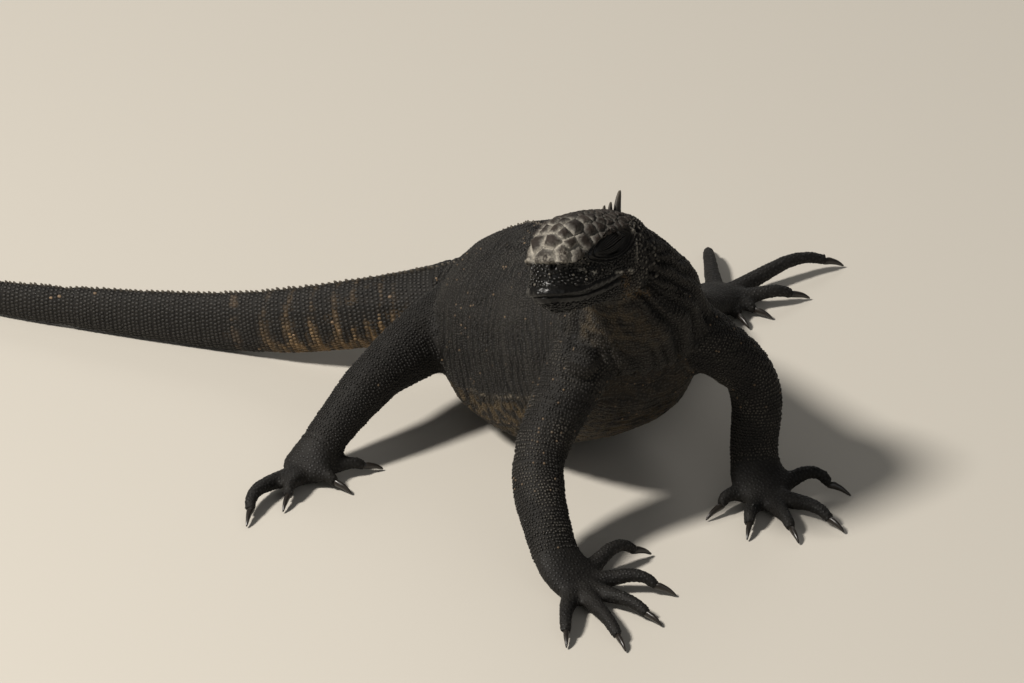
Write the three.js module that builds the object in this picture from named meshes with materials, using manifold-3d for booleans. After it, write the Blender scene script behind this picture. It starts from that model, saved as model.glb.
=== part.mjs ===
// Marine iguana, life size, standing propped on its forelegs with its head turned to its right.
// Millimetres, +Z up. The trunk faces -Y, +X is the animal's left, and the floor is z = 0.
import * as THREE from 'three';
import { mergeVertices } from 'three/addons/utils/BufferGeometryUtils.js';
import Module from 'manifold-3d';

const wasm = await Module();
wasm.setup();

// Driving dimensions
const GAP = 0.3;
const SEED = 7;

// Trunk and tail, from the breast to the tail's tip: place of the middle, then half width,
// height above the middle and depth below it
const TRUNK = [
  [[0, -55, 86], [13, 14, 15]],
  [[0, -47, 85], [29, 29, 31]],
  [[-1, -30, 79], [37, 39, 37]],
  [[-2, -8, 67], [42, 45, 46]],
  [[-3, 20, 57], [47, 47, 51]],
  [[-4, 45, 51], [49, 45, 48]],
  [[-5, 66, 46], [44.5, 37.5, 40]],
  [[-9, 84, 40], [32, 26.5, 28]],
  [[-19, 100, 36], [20.5, 19.5, 20]],
  [[-37, 112, 31], [15, 18.5, 17]],
  [[-58, 125, 26], [11.5, 18, 16.5]],
  [[-80, 142, 20], [9.5, 17, 16]],
  [[-101, 163, 14.5], [8, 15.2, 14.8]],
  [[-124, 184, 12], [7, 13.6, 12.3]],
  [[-147, 206, 10.3], [6.2, 12, 10.6]],
  [[-180, 239, 8.5], [5.2, 9.2, 8.8]],
  [[-211, 277, 6.8], [4.3, 7.4, 7.1]],
  [[-234, 320, 5.1], [3.3, 5.4, 5.3]],
  [[-245, 364, 3.4], [2.3, 3.5, 3.6]],
  [[-247, 402, 1.9], [1.3, 1.7, 2.1]],
];
const CHEST_ENDS = 3.6;
const ABDOMEN_ENDS = 8.3;
const TAIL_ENDS = [11.5, 14.4, 16.4, 19];

// Neck, from inside the head down into the breast: middle, sizes, and which way the nape faces
const NECK = [
  [[-23, -58, 139], [15, 14, 15], [0.75, 0.35, 0.55]],
  [[-12, -52, 131], [19, 14, 21], [0.6, 0.6, 0.5]],
  [[-6, -47, 116], [25, 20, 27], [0.35, 0.85, 0.35]],
  [[-2, -42, 101], [32, 27, 30], [0.15, 1, 0.3]],
  [[0, -35, 87], [36, 25, 30], [0, 1, 0.35]],
  [[0, -31, 78], [29, 16, 24], [0, 1, 0.4]],
];

const NECK_FOLD = 0.8;
const NECK_FOLDS = 9;

// Head: the point midway between the eyes, how it is turned, and its length in rings from the
// snout back: distance forward, half width, height above the axis, depth below it
const HEAD_MIDDLE = [-39, -62, 146];
const HEAD_TURN = 64.7;
const HEAD_RISE = 10;
const HEAD_TILT = 18;
const HEAD = [
  [29.2, 3.6, 2.5, 8.4],
  [27.8, 6.4, 6, 12],
  [25.2, 8.2, 10, 15],
  [21, 10.2, 15.4, 16.8],
  [15, 12.4, 19.2, 17.6],
  [8, 14.8, 21, 17.8],
  [0, 16.6, 21.6, 17.8],
  [-10, 17.8, 21.6, 18],
  [-20, 18, 20.4, 18.5],
  [-30, 16.4, 17.4, 18],
  [-38, 11.4, 12.6, 14],
];
const HEAD_AXIS = -10;
const MOUTH = [[34, -16.6], [24, -16.8], [12, -17.4], [2, -17], [-6, -15.8]];
const JAW_HINGE = [-21, -34];
const LIP_STOPS = [-4, 3, 10, 17, 23, 27];
const UPPER_LIP = { height: -13.4, radius: 2.5, sink: 1.3 };
const LOWER_LIP = { height: -19.6, radius: 2.1, sink: 1.1 };
const EYE = { forward: -3.4, side: 14.8, up: -0.6, long: 6.6, deep: 4.4, high: 4.8, slope: 20 };
const EAR = { forward: -22.5, up: 0.4, long: 1.9, high: 2.5, deep: 1.8 };
const NOSTRIL = { forward: 26, side: 5.4, up: -3, wide: 1.2, high: 2, deep: 2.6 };
const RIM = 0.75;
const SLIT = 0.55;
const NUCHAL_SPINES = [[-25.5, 2.4, 2.8, 0.3], [-30, 4.2, 3.2, 0.15], [-34.4, 10.2, 4.4, 0.06]];

// Legs: shoulder or hip, elbow or knee, wrist or ankle
const RIGHT_ARM = { root: [-26, -44, 80], bend: [-60, -64, 43], end: [-67.4, -98, 13] };
const LEFT_ARM = { root: [25, -42, 80], bend: [55, -49, 51], end: [50.2, -57.1, 13] };
const RIGHT_LEG = { root: [-22, 78, 44], bend: [-79, 55, 36], end: [-118, 41, 12] };
const LEFT_LEG = { root: [6, 80, 44], bend: [58, 68, 38], end: [95, 86, 11] };
// Half width, height above and depth below the middle of a leg: three steps to the elbow or knee,
// three more to the wrist or ankle, and then over the palm or sole to its front
const ARM_SIZES = [
  [15, 17, 17],
  [14.2, 16, 16],
  [12.8, 13.8, 13.8],
  [11.8, 12.4, 12.4],
  [11.7, 11.9, 11.9],
  [11.2, 10.4, 10.4],
  [11.8, 8.6, 8.6],
  [13, 7, 7],
  [13.4, 6, 7.4],
  [10.6, 4.2, 5],
];
const LEG_SIZES = [
  [17, 20, 20],
  [16.4, 18.6, 18.6],
  [14.4, 16, 16],
  [11.8, 13.2, 13.2],
  [11, 11.6, 11.6],
  [10, 10, 10],
  [9.6, 8.4, 8.4],
  [10.6, 7, 7],
  [12, 6, 7.4],
  [10, 4.2, 5],
];
const PALM_FRONT = { reach: 7, height: 4.6 };
const BEND_STEP = 3;
const BEND_OUT = 0.4;
const WRIST_STEP = 6;

// Hands and feet: middle of the palm or sole, and for each digit from the first its heading
// (0 is -Y, 90 is +X), reach to the claw's tip, height of its knuckle and sideways bow
const RIGHT_HAND = {
  palm: [-62.3, -108.3, 7],
  digits: [[110, 48, 15, 4], [60, 44, 11, 4], [25, 48, 8, 1], [-4, 57, 8, 0], [-31, 50, 8, -2]],
};
const LEFT_HAND = {
  palm: [49.2, -70.8, 7],
  digits: [[-83, 31, 10, -4], [-39, 36, 8, -2], [-5, 41, 8, 0], [25, 45, 9, 2], [72, 39, 15, 7]],
};
const RIGHT_FOOT = {
  palm: [-124, 37, 7],
  digits: [[80, 35, 8, 0], [30, 24, 8, 0], [-45, 32, 9, -2], [-57, 51, 9, -8], [165, 22, 7, -2]],
};
const LEFT_FOOT = {
  palm: [114, 103, 7],
  digits: [[8, 25, 7, 0], [40, 27, 7, 0], [76, 43, 10, -2], [99, 71, 13, 5], [158, 57, 9, 1]],
};
const DIGIT_RADII = [5.2, 4.3, 3.5, 3.1, 2.7, 2.3];
const CLAW_RADII = [2, 1.5, 0.5];
const CLAW_LENGTH = 9;

// Crest spines: height, base along the body, thickness across, and step between them
const NAPE_SPINE = { height: 10.5, base: 3.6, thick: 2.4, step: 3.8 };
const BACK_SPINE = { height: 3, low: 2, base: 3.6, thick: 2, step: 4.6 };
const TAIL_SPINE = { height: 2.8, low: 1, base: 4.6, thick: 1.7, step: 6.4 };
const SPINE_LEAN = 0.45;
const SPINE_ROOT = 1.6;
const PLATE_ROOT = 1.2;

// Material colours
const SKIN = { color: 0x23211e, roughness: 0.78 };
const BELLY_SKIN = { color: 0x2b2620, roughness: 0.8 };
const HEAD_SKIN = { color: 0x2e2a26, roughness: 0.6 };
const LID_SKIN = { color: 0x1d1b19, roughness: 0.55 };
const CLAW_HORN = { color: 0x1a1613, roughness: 0.38 };

const group = new THREE.Group();
const random = seeded(SEED);

function seeded(start) {
  let state = start;
  return () => {
    state = (state * 16807) % 2147483647;
    return state / 2147483647;
  };
}

function vector(list) {
  return new THREE.Vector3(list[0], list[1], list[2]);
}

function spread(amount) {
  return 1 + amount * (2 * random() - 1);
}

// A closed mesh as a solid, with its faces turned outwards
function toSolid(geometry) {
  const bare = geometry.clone();
  bare.deleteAttribute('normal');
  bare.deleteAttribute('uv');
  const merged = mergeVertices(bare, 1e-4);
  const places = merged.attributes.position.array;
  const corners = new Uint32Array(merged.index.array);
  let volume = 0;
  const a = new THREE.Vector3();
  const b = new THREE.Vector3();
  const c = new THREE.Vector3();
  for (let i = 0; i < corners.length; i += 3) {
    a.fromArray(places, corners[i] * 3);
    b.fromArray(places, corners[i + 1] * 3);
    c.fromArray(places, corners[i + 2] * 3);
    volume += a.dot(b.cross(c));
  }
  if (volume < 0) {
    for (let i = 0; i < corners.length; i += 3) {
      const kept = corners[i];
      corners[i] = corners[i + 1];
      corners[i + 1] = kept;
    }
  }
  const mesh = new wasm.Mesh({
    numProp: 3,
    vertProperties: new Float32Array(places),
    triVerts: corners,
  });
  return new wasm.Manifold(mesh);
}

// The largest closed surface of a solid
function largest(solid) {
  const pieces = solid.decompose();
  return pieces.reduce((best, piece) => (piece.volume() > best.volume() ? piece : best));
}

function joined(first, others) {
  return others.reduce((sum, other) => sum.add(other), first);
}

function trimmed(solid, neighbours) {
  return largest(neighbours.reduce((rest, neighbour) => rest.subtract(neighbour), solid));
}

function addNode(name, solid, finish) {
  const kept = largest(solid);
  const data = kept.getMesh();
  const geometry = new THREE.BufferGeometry();
  geometry.setAttribute('position', new THREE.BufferAttribute(data.vertProperties, 3));
  geometry.setIndex(new THREE.BufferAttribute(data.triVerts, 1));
  geometry.computeVertexNormals();
  const mesh = new THREE.Mesh(geometry, new THREE.MeshStandardMaterial(finish));
  mesh.name = name;
  group.add(mesh);
  return kept;
}

// A fleshy form: rings round a curve, each with a half width, a height and a depth. The ring's
// angle is 0 on the left side, 90 on top, 180 on the right and 270 below.
function makeForm(options) {
  const { middles, sizes, ups, sides, rings } = options;
  return {
    curve: new THREE.CatmullRomCurve3(middles.map(vector)),
    sizes: new THREE.CatmullRomCurve3(sizes.map(vector)),
    ups: new THREE.CatmullRomCurve3((ups || middles.map(() => [0, 0, 1])).map(vector)),
    last: middles.length - 1,
    sides,
    rings,
    topPower: options.topPower || 2,
    lowPower: options.lowPower || 2,
    roundEnd: options.roundEnd || 0,
    relief: options.relief || (() => 0),
  };
}

function roundness(form, t) {
  if (t <= 1 - form.roundEnd) {
    return 1;
  }
  return Math.max(Math.sqrt(Math.max(0, 1 - (1 - (1 - t) / form.roundEnd) ** 2)), 0.12);
}

function formAxes(form, t) {
  const along = form.curve.getTangent(t).normalize();
  const left = new THREE.Vector3().crossVectors(along, form.ups.getPoint(t)).normalize();
  const up = new THREE.Vector3().crossVectors(left, along).normalize();
  return { along, left, up };
}

function formPoint(form, t, angle, grow = 0, share = 1) {
  const { along, left, up } = formAxes(form, t);
  const size = form.sizes.getPoint(t);
  const c = Math.cos(angle);
  const s = Math.sin(angle);
  const power = s > 0 ? form.topPower : form.lowPower;
  const across = Math.sign(c) * Math.abs(c) ** (2 / power) * size.x;
  const rise = Math.sign(s) * Math.abs(s) ** (2 / power) * (s > 0 ? size.y : size.z);
  const factor = roundness(form, t);
  const radius = Math.hypot(across, rise);
  const reach = ((radius * factor + form.relief(t, angle) * factor + grow) / radius) * share;
  const point = form.curve.getPoint(t);
  point.addScaledVector(left, across * reach);
  point.addScaledVector(up, rise * reach);
  const atEnd = t <= 0 || t >= 1 ? 1 : 1 - factor;
  point.addScaledVector(along, grow * atEnd * (t < 0.5 ? -1 : 1));
  return point;
}

function formStops(form, from, to) {
  const count = Math.max(2, Math.round(form.rings * (to - from)));
  let stops = Array.from({ length: count + 1 }, (_, k) => from + ((to - from) * k) / count);
  const closer = [0.01, 0.09, 0.3, 0.62, 1];
  if (to > 1 - form.roundEnd) {
    stops = stops.filter((t) => t < 1 - form.roundEnd * 1.1);
    stops = stops.concat(closer.map((share) => 1 - share * form.roundEnd).reverse());
  }
  return stops;
}

function formGeometry(form, { from = 0, to = 1, grow = 0 } = {}) {
  const stops = formStops(form, from, to);
  const steps = stops.length - 1;
  const geometry = new THREE.CylinderGeometry(1, 1, 1, form.sides, steps);
  const position = geometry.attributes.position;
  for (let i = 0; i < position.count; i += 1) {
    const stop = stops[Math.round((0.5 - position.getY(i)) * steps)];
    const angle = Math.atan2(position.getX(i), position.getZ(i));
    const share = Math.hypot(position.getX(i), position.getZ(i)) > 0.5 ? 1 : 0;
    const point = formPoint(form, stop, angle, grow, share);
    position.setXYZ(i, point.x, point.y, point.z);
  }
  return geometry;
}

function formSolid(form, part) {
  return toSolid(formGeometry(form, part));
}

// Where something grows from a form: the point, the outward normal and the way along
function formSpot(form, t, angle) {
  const step = 0.004;
  const point = formPoint(form, t, angle);
  const along = formPoint(form, Math.min(t + step, 1), angle);
  along.sub(formPoint(form, Math.max(t - step, 0), angle)).normalize();
  const around = formPoint(form, t, angle + 0.05).sub(formPoint(form, t, angle - 0.05)).normalize();
  const normal = new THREE.Vector3().crossVectors(along, around).normalize();
  const outward = point.clone().sub(form.curve.getPoint(t));
  if (normal.dot(outward) < 0) {
    normal.negate();
  }
  return { point, normal, along, around };
}

// A spine: a flattened cone that leans back, with its root sunk in the skin
function spineSolid(spot, height, base, thick, lean = SPINE_LEAN) {
  const direction = spot.normal.clone().addScaledVector(spot.along, lean).normalize();
  const across = new THREE.Vector3().crossVectors(spot.along, direction).normalize();
  const forward = new THREE.Vector3().crossVectors(direction, across).normalize();
  const cone = new THREE.ConeGeometry(base / 2, height + SPINE_ROOT, 5);
  cone.translate(0, (height + SPINE_ROOT) / 2 - SPINE_ROOT, 0);
  cone.scale(1, 1, thick / base);
  const place = new THREE.Matrix4().makeBasis(forward, direction, across);
  place.setPosition(spot.point);
  cone.applyMatrix4(place);
  return toSolid(cone);
}

// Spines in file along a form's top between two places
function crestSpines(form, from, to, step, sizeAt) {
  const length = form.curve.getLength();
  const whole = form.curve.getLengths(400);
  const spines = [];
  const top = Math.PI / 2;
  let next = null;
  for (let k = 0; k <= 400; k += 1) {
    const t = k / 400;
    if (t < from || t > to || whole[k] > length) {
      continue;
    }
    if (next === null) {
      next = whole[k];
    }
    if (whole[k] >= next) {
      const size = sizeAt((t - from) / (to - from));
      const height = size.height * spread(0.14);
      spines.push(spineSolid(formSpot(form, t, top), height, size.base, size.thick));
      next += step * spread(0.06);
    }
  }
  return spines;
}

// Trunk and tail as one form, parted by thin cuts
const trunkLast = TRUNK.length - 1;
const trunkForm = makeForm({
  middles: TRUNK.map((ring) => ring[0]),
  sizes: TRUNK.map((ring) => ring[1]),
  sides: 20,
  rings: 44,
  topPower: 2.05,
  lowPower: 2.8,
});
const tailForm = { ...trunkForm, sides: 12, rings: 62, topPower: 1.9, lowPower: 2 };

const floorBlock = new THREE.BoxGeometry(1200, 1200, 40);
floorBlock.translate(0, 0, -20);
const floorSolid = toSolid(floorBlock);

function trunkShare(station) {
  return station / trunkLast;
}

// Half of the gap at a cut through a form, as a share of its length
function halfGap(form, t) {
  const step = 0.001;
  const speed = form.curve.getPoint(t + step).distanceTo(form.curve.getPoint(t)) / step;
  return GAP / speed / 2;
}

function trunkGap(station) {
  return halfGap(trunkForm, trunkShare(station));
}

function trunkLength(form, fromStation, toStation, grow = 0) {
  const from = fromStation === 0 ? 0 : trunkShare(fromStation) + trunkGap(fromStation);
  const to = toStation === trunkLast ? 1 : trunkShare(toStation) - trunkGap(toStation);
  return formSolid(form, { from, to, grow });
}

function backSpineSize(share) {
  const height = THREE.MathUtils.lerp(BACK_SPINE.height, BACK_SPINE.low, share);
  return { height, base: BACK_SPINE.base, thick: BACK_SPINE.thick };
}

function tailSpineSize(share) {
  const height = THREE.MathUtils.lerp(TAIL_SPINE.height, TAIL_SPINE.low, share);
  const base = THREE.MathUtils.lerp(TAIL_SPINE.base, TAIL_SPINE.base * 0.6, share);
  const thick = THREE.MathUtils.lerp(TAIL_SPINE.thick, TAIL_SPINE.thick * 0.5, share);
  return { height, base, thick };
}

const chestBody = trunkLength(trunkForm, 0, CHEST_ENDS);
const abdomenBody = trunkLength(trunkForm, CHEST_ENDS, ABDOMEN_ENDS);
const trunkGrown = joined(formSolid(trunkForm), [
  trunkLength(trunkForm, 0, CHEST_ENDS, GAP),
  trunkLength(trunkForm, CHEST_ENDS, ABDOMEN_ENDS, GAP),
  trunkLength(tailForm, ABDOMEN_ENDS, TAIL_ENDS[0], GAP),
]);

// Head, in its own frame: x forward, y to its left, z up
const headPlace = headMatrix();

function headMatrix() {
  const turn = THREE.MathUtils.degToRad(HEAD_TURN);
  const rise = THREE.MathUtils.degToRad(HEAD_RISE);
  const tilt = THREE.MathUtils.degToRad(HEAD_TILT);
  const forward = new THREE.Vector3(
    -Math.sin(turn) * Math.cos(rise),
    -Math.cos(turn) * Math.cos(rise),
    Math.sin(rise),
  );
  const level = new THREE.Vector3(Math.cos(turn), -Math.sin(turn), 0);
  const upright = new THREE.Vector3().crossVectors(forward, level);
  const left = level.clone().multiplyScalar(Math.cos(tilt));
  left.addScaledVector(upright, Math.sin(tilt));
  const up = new THREE.Vector3().crossVectors(forward, left);
  return new THREE.Matrix4().makeBasis(forward, left, up).setPosition(vector(HEAD_MIDDLE));
}

function headSolid(geometry) {
  return toSolid(geometry.clone().applyMatrix4(headPlace));
}

const headForm = makeForm({
  middles: HEAD.map((ring) => [ring[0], 0, HEAD_AXIS]),
  sizes: HEAD.map((ring) => [ring[1], ring[2], ring[3]]),
  sides: 22,
  rings: 15,
  topPower: 2.5,
  lowPower: 2.2,
});

// The jaw's room: everything below the line of the mouth and in front of the jaw's hinge
function jawRoom(offset) {
  const outline = new THREE.Shape();
  const low = JAW_HINGE[1] - 6;
  outline.moveTo(MOUTH[0][0], low);
  MOUTH.forEach(([x, z]) => outline.lineTo(x, z + offset));
  outline.lineTo(MOUTH[4][0] - 2 - offset, MOUTH[4][1] - 2 + offset);
  outline.lineTo(JAW_HINGE[0] - offset, low);
  outline.closePath();
  const room = new THREE.ExtrudeGeometry(outline, { depth: 60, bevelEnabled: false });
  room.rotateX(Math.PI / 2);
  room.translate(0, 30, 0);
  return headSolid(room);
}

function ellipsoid(centre, radii, wide = 10, high = 7) {
  const ball = new THREE.SphereGeometry(1, wide, high);
  ball.scale(radii[0], radii[1], radii[2]);
  ball.translate(centre[0], centre[1], centre[2]);
  return ball;
}

// The shut lids over the eyeball
function eyeGeometry(side, grow) {
  const ball = new THREE.SphereGeometry(1, 12, 8);
  ball.scale(EYE.long + grow, EYE.deep + grow, EYE.high + grow);
  ball.rotateY(THREE.MathUtils.degToRad(EYE.slope));
  ball.translate(EYE.forward, side * EYE.side, EYE.up);
  return ball;
}

// A head plate: a low six-sided tubercle with its root sunk in the skull
function plateSolid({ x, angle, radius, height }, grow = 0) {
  const spot = formSpot(headForm, headShare(x), angle);
  const tall = height + grow + PLATE_ROOT;
  const plate = new THREE.CylinderGeometry(radius * 0.62 + grow, radius + grow, tall, 6);
  plate.translate(0, tall / 2 - PLATE_ROOT, 0);
  const across = new THREE.Vector3().crossVectors(spot.along, spot.normal).normalize();
  const forward = new THREE.Vector3().crossVectors(spot.normal, across).normalize();
  const place = new THREE.Matrix4().makeBasis(forward, spot.normal, across);
  place.setPosition(spot.point);
  plate.applyMatrix4(place);
  return headSolid(plate);
}

// How far along the head's form a distance forward of the eyes is
function headShare(x) {
  let low = 0;
  let high = 1;
  for (let k = 0; k < 24; k += 1) {
    const middle = (low + high) / 2;
    if (headForm.curve.getPoint(middle).x > x) {
      low = middle;
    } else {
      high = middle;
    }
  }
  return (low + high) / 2;
}

function headPlates() {
  const rows = [
    { x: 24.6, count: 2, radius: 3.1, height: 1.1, span: 44 },
    { x: 20.6, count: 3, radius: 3.6, height: 1.6, span: 92 },
    { x: 15, count: 4, radius: 3.7, height: 1.7, span: 112 },
    { x: 9, count: 3, radius: 4.3, height: 1.8, span: 78 },
    { x: 2.8, count: 4, radius: 3.9, height: 1.6, span: 92 },
    { x: -3.6, count: 3, radius: 3.6, height: 1.4, span: 58 },
    { x: -9.6, count: 4, radius: 3.2, height: 1.2, span: 84 },
    { x: -15.4, count: 3, radius: 2.9, height: 1, span: 60 },
    { x: -21, count: 4, radius: 2.5, height: 0.8, span: 84 },
  ];
  const sideRows = [
    { x: [18, 12.5], angle: [34, 28], count: 2, radius: 3, height: 1.8 },
    { x: [7, -13], angle: [37, 30], count: 6, radius: 1.9, height: 1.3 },
    { x: [-19, -30], angle: [-52, -30], count: 3, radius: 2.4, height: 1.2 },
  ];
  const plates = [];
  sideRows.forEach((row) => {
    for (let k = 0; k < row.count; k += 1) {
      const share = k / (row.count - 1);
      const x = THREE.MathUtils.lerp(row.x[0], row.x[1], share);
      const angle = THREE.MathUtils.degToRad(THREE.MathUtils.lerp(row.angle[0], row.angle[1], share));
      const radius = row.radius * spread(0.1);
      const height = row.height * spread(0.15);
      plates.push({ x, angle, radius, height });
      plates.push({ x, angle: Math.PI - angle, radius, height });
    }
  });
  rows.forEach((row) => {
    for (let k = 0; k < row.count; k += 1) {
      const share = row.count > 1 ? k / (row.count - 1) - 0.5 : 0;
      const angle = THREE.MathUtils.degToRad(90 + share * row.span);
      const radius = row.radius * spread(0.08);
      const height = row.height * spread(0.15);
      plates.push({ x: row.x, angle, radius, height });
    }
  });
  return plates;
}

// A lip: a soft roll that runs round the snout along the mouth, thinning to the corners
function lipSolid(lip) {
  const side = LIP_STOPS.map((x) => {
    const t = headShare(x);
    const angle = -Math.asin(THREE.MathUtils.clamp(
      (headForm.curve.getPoint(t).z - lip.height) / headForm.sizes.getPoint(t).z, 0, 0.98));
    const point = formPoint(headForm, t, angle);
    return [x - lip.sink * 0.3, Math.max(point.y - lip.sink, 0), lip.height];
  });
  const middles = side.concat([[HEAD[0][0] - lip.sink, 0, lip.height]]);
  side.slice().reverse().forEach(([x, y, z]) => middles.push([x, -y, z]));
  const last = middles.length - 1;
  const roll = makeForm({
    middles,
    sizes: middles.map((_, k) => {
      const radius = lip.radius * (0.35 + 0.65 * Math.sin((Math.PI * k) / last) ** 0.5);
      return [radius, radius, radius];
    }),
    sides: 6,
    rings: 16,
  });
  return headSolid(formGeometry(roll));
}

// A raised rim round an eye, ear or nostril, lying against the side or front of the head
function rimSolid(centre, radii, slope, facing) {
  const ring = new THREE.TorusGeometry(1, 0.1, 4, 12);
  ring.scale(radii[0], radii[1], 1);
  ring.scale(1, 1, RIM / 0.1);
  ring.rotateZ(THREE.MathUtils.degToRad(slope));
  const across = new THREE.Vector3().crossVectors(new THREE.Vector3(0, 0, 1), facing).normalize();
  const upright = new THREE.Vector3().crossVectors(facing, across).normalize();
  const place = new THREE.Matrix4().makeBasis(across, upright, facing);
  place.setPosition(vector(centre));
  ring.applyMatrix4(place);
  return headSolid(ring);
}

// The slit between the shut lids, rising towards the back
function lidSlit(side) {
  const slit = new THREE.TorusGeometry(EYE.long * 0.98, SLIT, 3, 16);
  slit.scale(1, EYE.deep / EYE.long, 1);
  slit.rotateX(side > 0 ? 0.12 : -0.12);
  slit.rotateY(THREE.MathUtils.degToRad(EYE.slope));
  slit.translate(EYE.forward, side * EYE.side, EYE.up - 0.5);
  return headSolid(slit);
}

const headWhole = headSolid(formGeometry(headForm));
const headGrown = headSolid(formGeometry(headForm, { grow: GAP }));
const eyeSides = { left: 1, right: -1 };
const plateList = headPlates();

let headBody = headWhole.add(lipSolid(UPPER_LIP)).subtract(jawRoom(GAP / 2));
headBody = joined(headBody, plateList.map((plate) => plateSolid(plate)));
Object.values(eyeSides).forEach((side) => {
  const sideways = new THREE.Vector3(0, side, 0);
  const earSide = side > 0 ? 0 : Math.PI;
  const ear = formPoint(headForm, headShare(EAR.forward), earSide);
  const lidMiddle = [EYE.forward, side * (EYE.side + 2.2), EYE.up];
  const lidRim = rimSolid(lidMiddle, [EYE.long * 0.98, EYE.high * 0.98], -side * EYE.slope, sideways);
  const earMiddle = [EAR.forward, ear.y, EAR.up];
  const earRim = rimSolid(earMiddle, [EAR.long + 0.5, EAR.high + 0.5], 0, sideways);
  headBody = joined(headBody, [lidRim, earRim]);
  headBody = headBody.subtract(headSolid(eyeGeometry(side, GAP)));
  const cup = ellipsoid([EAR.forward, ear.y, EAR.up], [EAR.long, EAR.deep, EAR.high]);
  headBody = headBody.subtract(headSolid(cup));
  const pit = ellipsoid(
    [NOSTRIL.forward, side * NOSTRIL.side, NOSTRIL.up],
    [NOSTRIL.deep, NOSTRIL.wide, NOSTRIL.high],
    8,
    6,
  );
  headBody = headBody.subtract(headSolid(pit));
});
const jawBody = headWhole.add(lipSolid(LOWER_LIP)).intersect(jawRoom(-GAP / 2));
const nuchalSpines = NUCHAL_SPINES.map(([x, height, base, lean]) => {
  const spot = formSpot(headForm, headShare(x), Math.PI / 2);
  spot.normal.set(0, 0, 1);
  spot.along.set(-1, 0, 0);
  return spineSolid(spot, height, base, base * 0.8, lean).transform(headPlace.toArray());
});
headBody = joined(headBody, nuchalSpines);

function napeSpineSize(share) {
  const height = NAPE_SPINE.height * (0.3 + 0.7 * Math.sin(Math.PI * (0.06 + 0.8 * share)));
  return { height, base: NAPE_SPINE.base, thick: NAPE_SPINE.thick };
}

// Neck, trimmed by the head and the breast
function neckFold(t, angle) {
  const under = 0.5 - 0.5 * Math.sin(angle);
  return NECK_FOLD * Math.sin(NECK_FOLDS * Math.PI * t) * under;
}

const neckForm = makeForm({
  middles: NECK.map((ring) => ring[0]),
  sizes: NECK.map((ring) => ring[1]),
  ups: NECK.map((ring) => ring[2]),
  sides: 18,
  rings: 15,
  relief: neckFold,
});
const neckGrown = formSolid(neckForm, { grow: GAP });
const platesGrown = plateList.map((plate) => plateSolid(plate, GAP));
const neckSpines = crestSpines(neckForm, 0.12, 0.68, NAPE_SPINE.step, napeSpineSize);
const neckWhole = joined(formSolid(neckForm), neckSpines);
const neckBody = trimmed(neckWhole, [trunkGrown, headGrown, ...platesGrown]);

// A leg is one form from its root through the bend and the wrist or ankle to the palm's front.
// Its middle line rounds the bend and the wrist, a little inside them.
function limbForm(joints, palm, sizes) {
  const [root, joint, end, middle] = [joints.root, joints.bend, joints.end, palm].map(vector);
  const away = middle.clone().sub(end).setZ(0).setLength(PALM_FRONT.reach);
  const front = middle.clone().add(away).setZ(PALM_FRONT.height);
  const across = root.clone().lerp(joint, 2 / 3).lerp(joint.clone().lerp(end, 1 / 3), 0.5);
  const bend = joint.clone().addScaledVector(joint.clone().sub(across), BEND_OUT);
  const steps = [
    root,
    root.clone().lerp(bend, 1 / 3),
    root.clone().lerp(bend, 2 / 3),
    bend,
    bend.clone().lerp(end, 1 / 3),
    bend.clone().lerp(end, 2 / 3),
    end,
    end.clone().lerp(middle, 0.5),
    middle,
    front,
  ];
  [BEND_STEP, WRIST_STEP].forEach((step) => {
    steps[step] = steps[step].clone().lerp(steps[step - 1].clone().lerp(steps[step + 1], 0.5), 0.5);
  });
  const curve = new THREE.CatmullRomCurve3(steps);
  const ups = [];
  let up = new THREE.Vector3(0, 0, 1);
  for (let k = steps.length - 1; k >= 0; k -= 1) {
    const along = curve.getTangent(k / (steps.length - 1));
    up = up.clone().addScaledVector(along, -up.dot(along)).normalize();
    ups.unshift(up.toArray());
  }
  return makeForm({
    middles: steps.map((step) => step.toArray()),
    sizes,
    ups,
    sides: 14,
    rings: 27,
    roundEnd: 0.083,
  });
}

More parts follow.
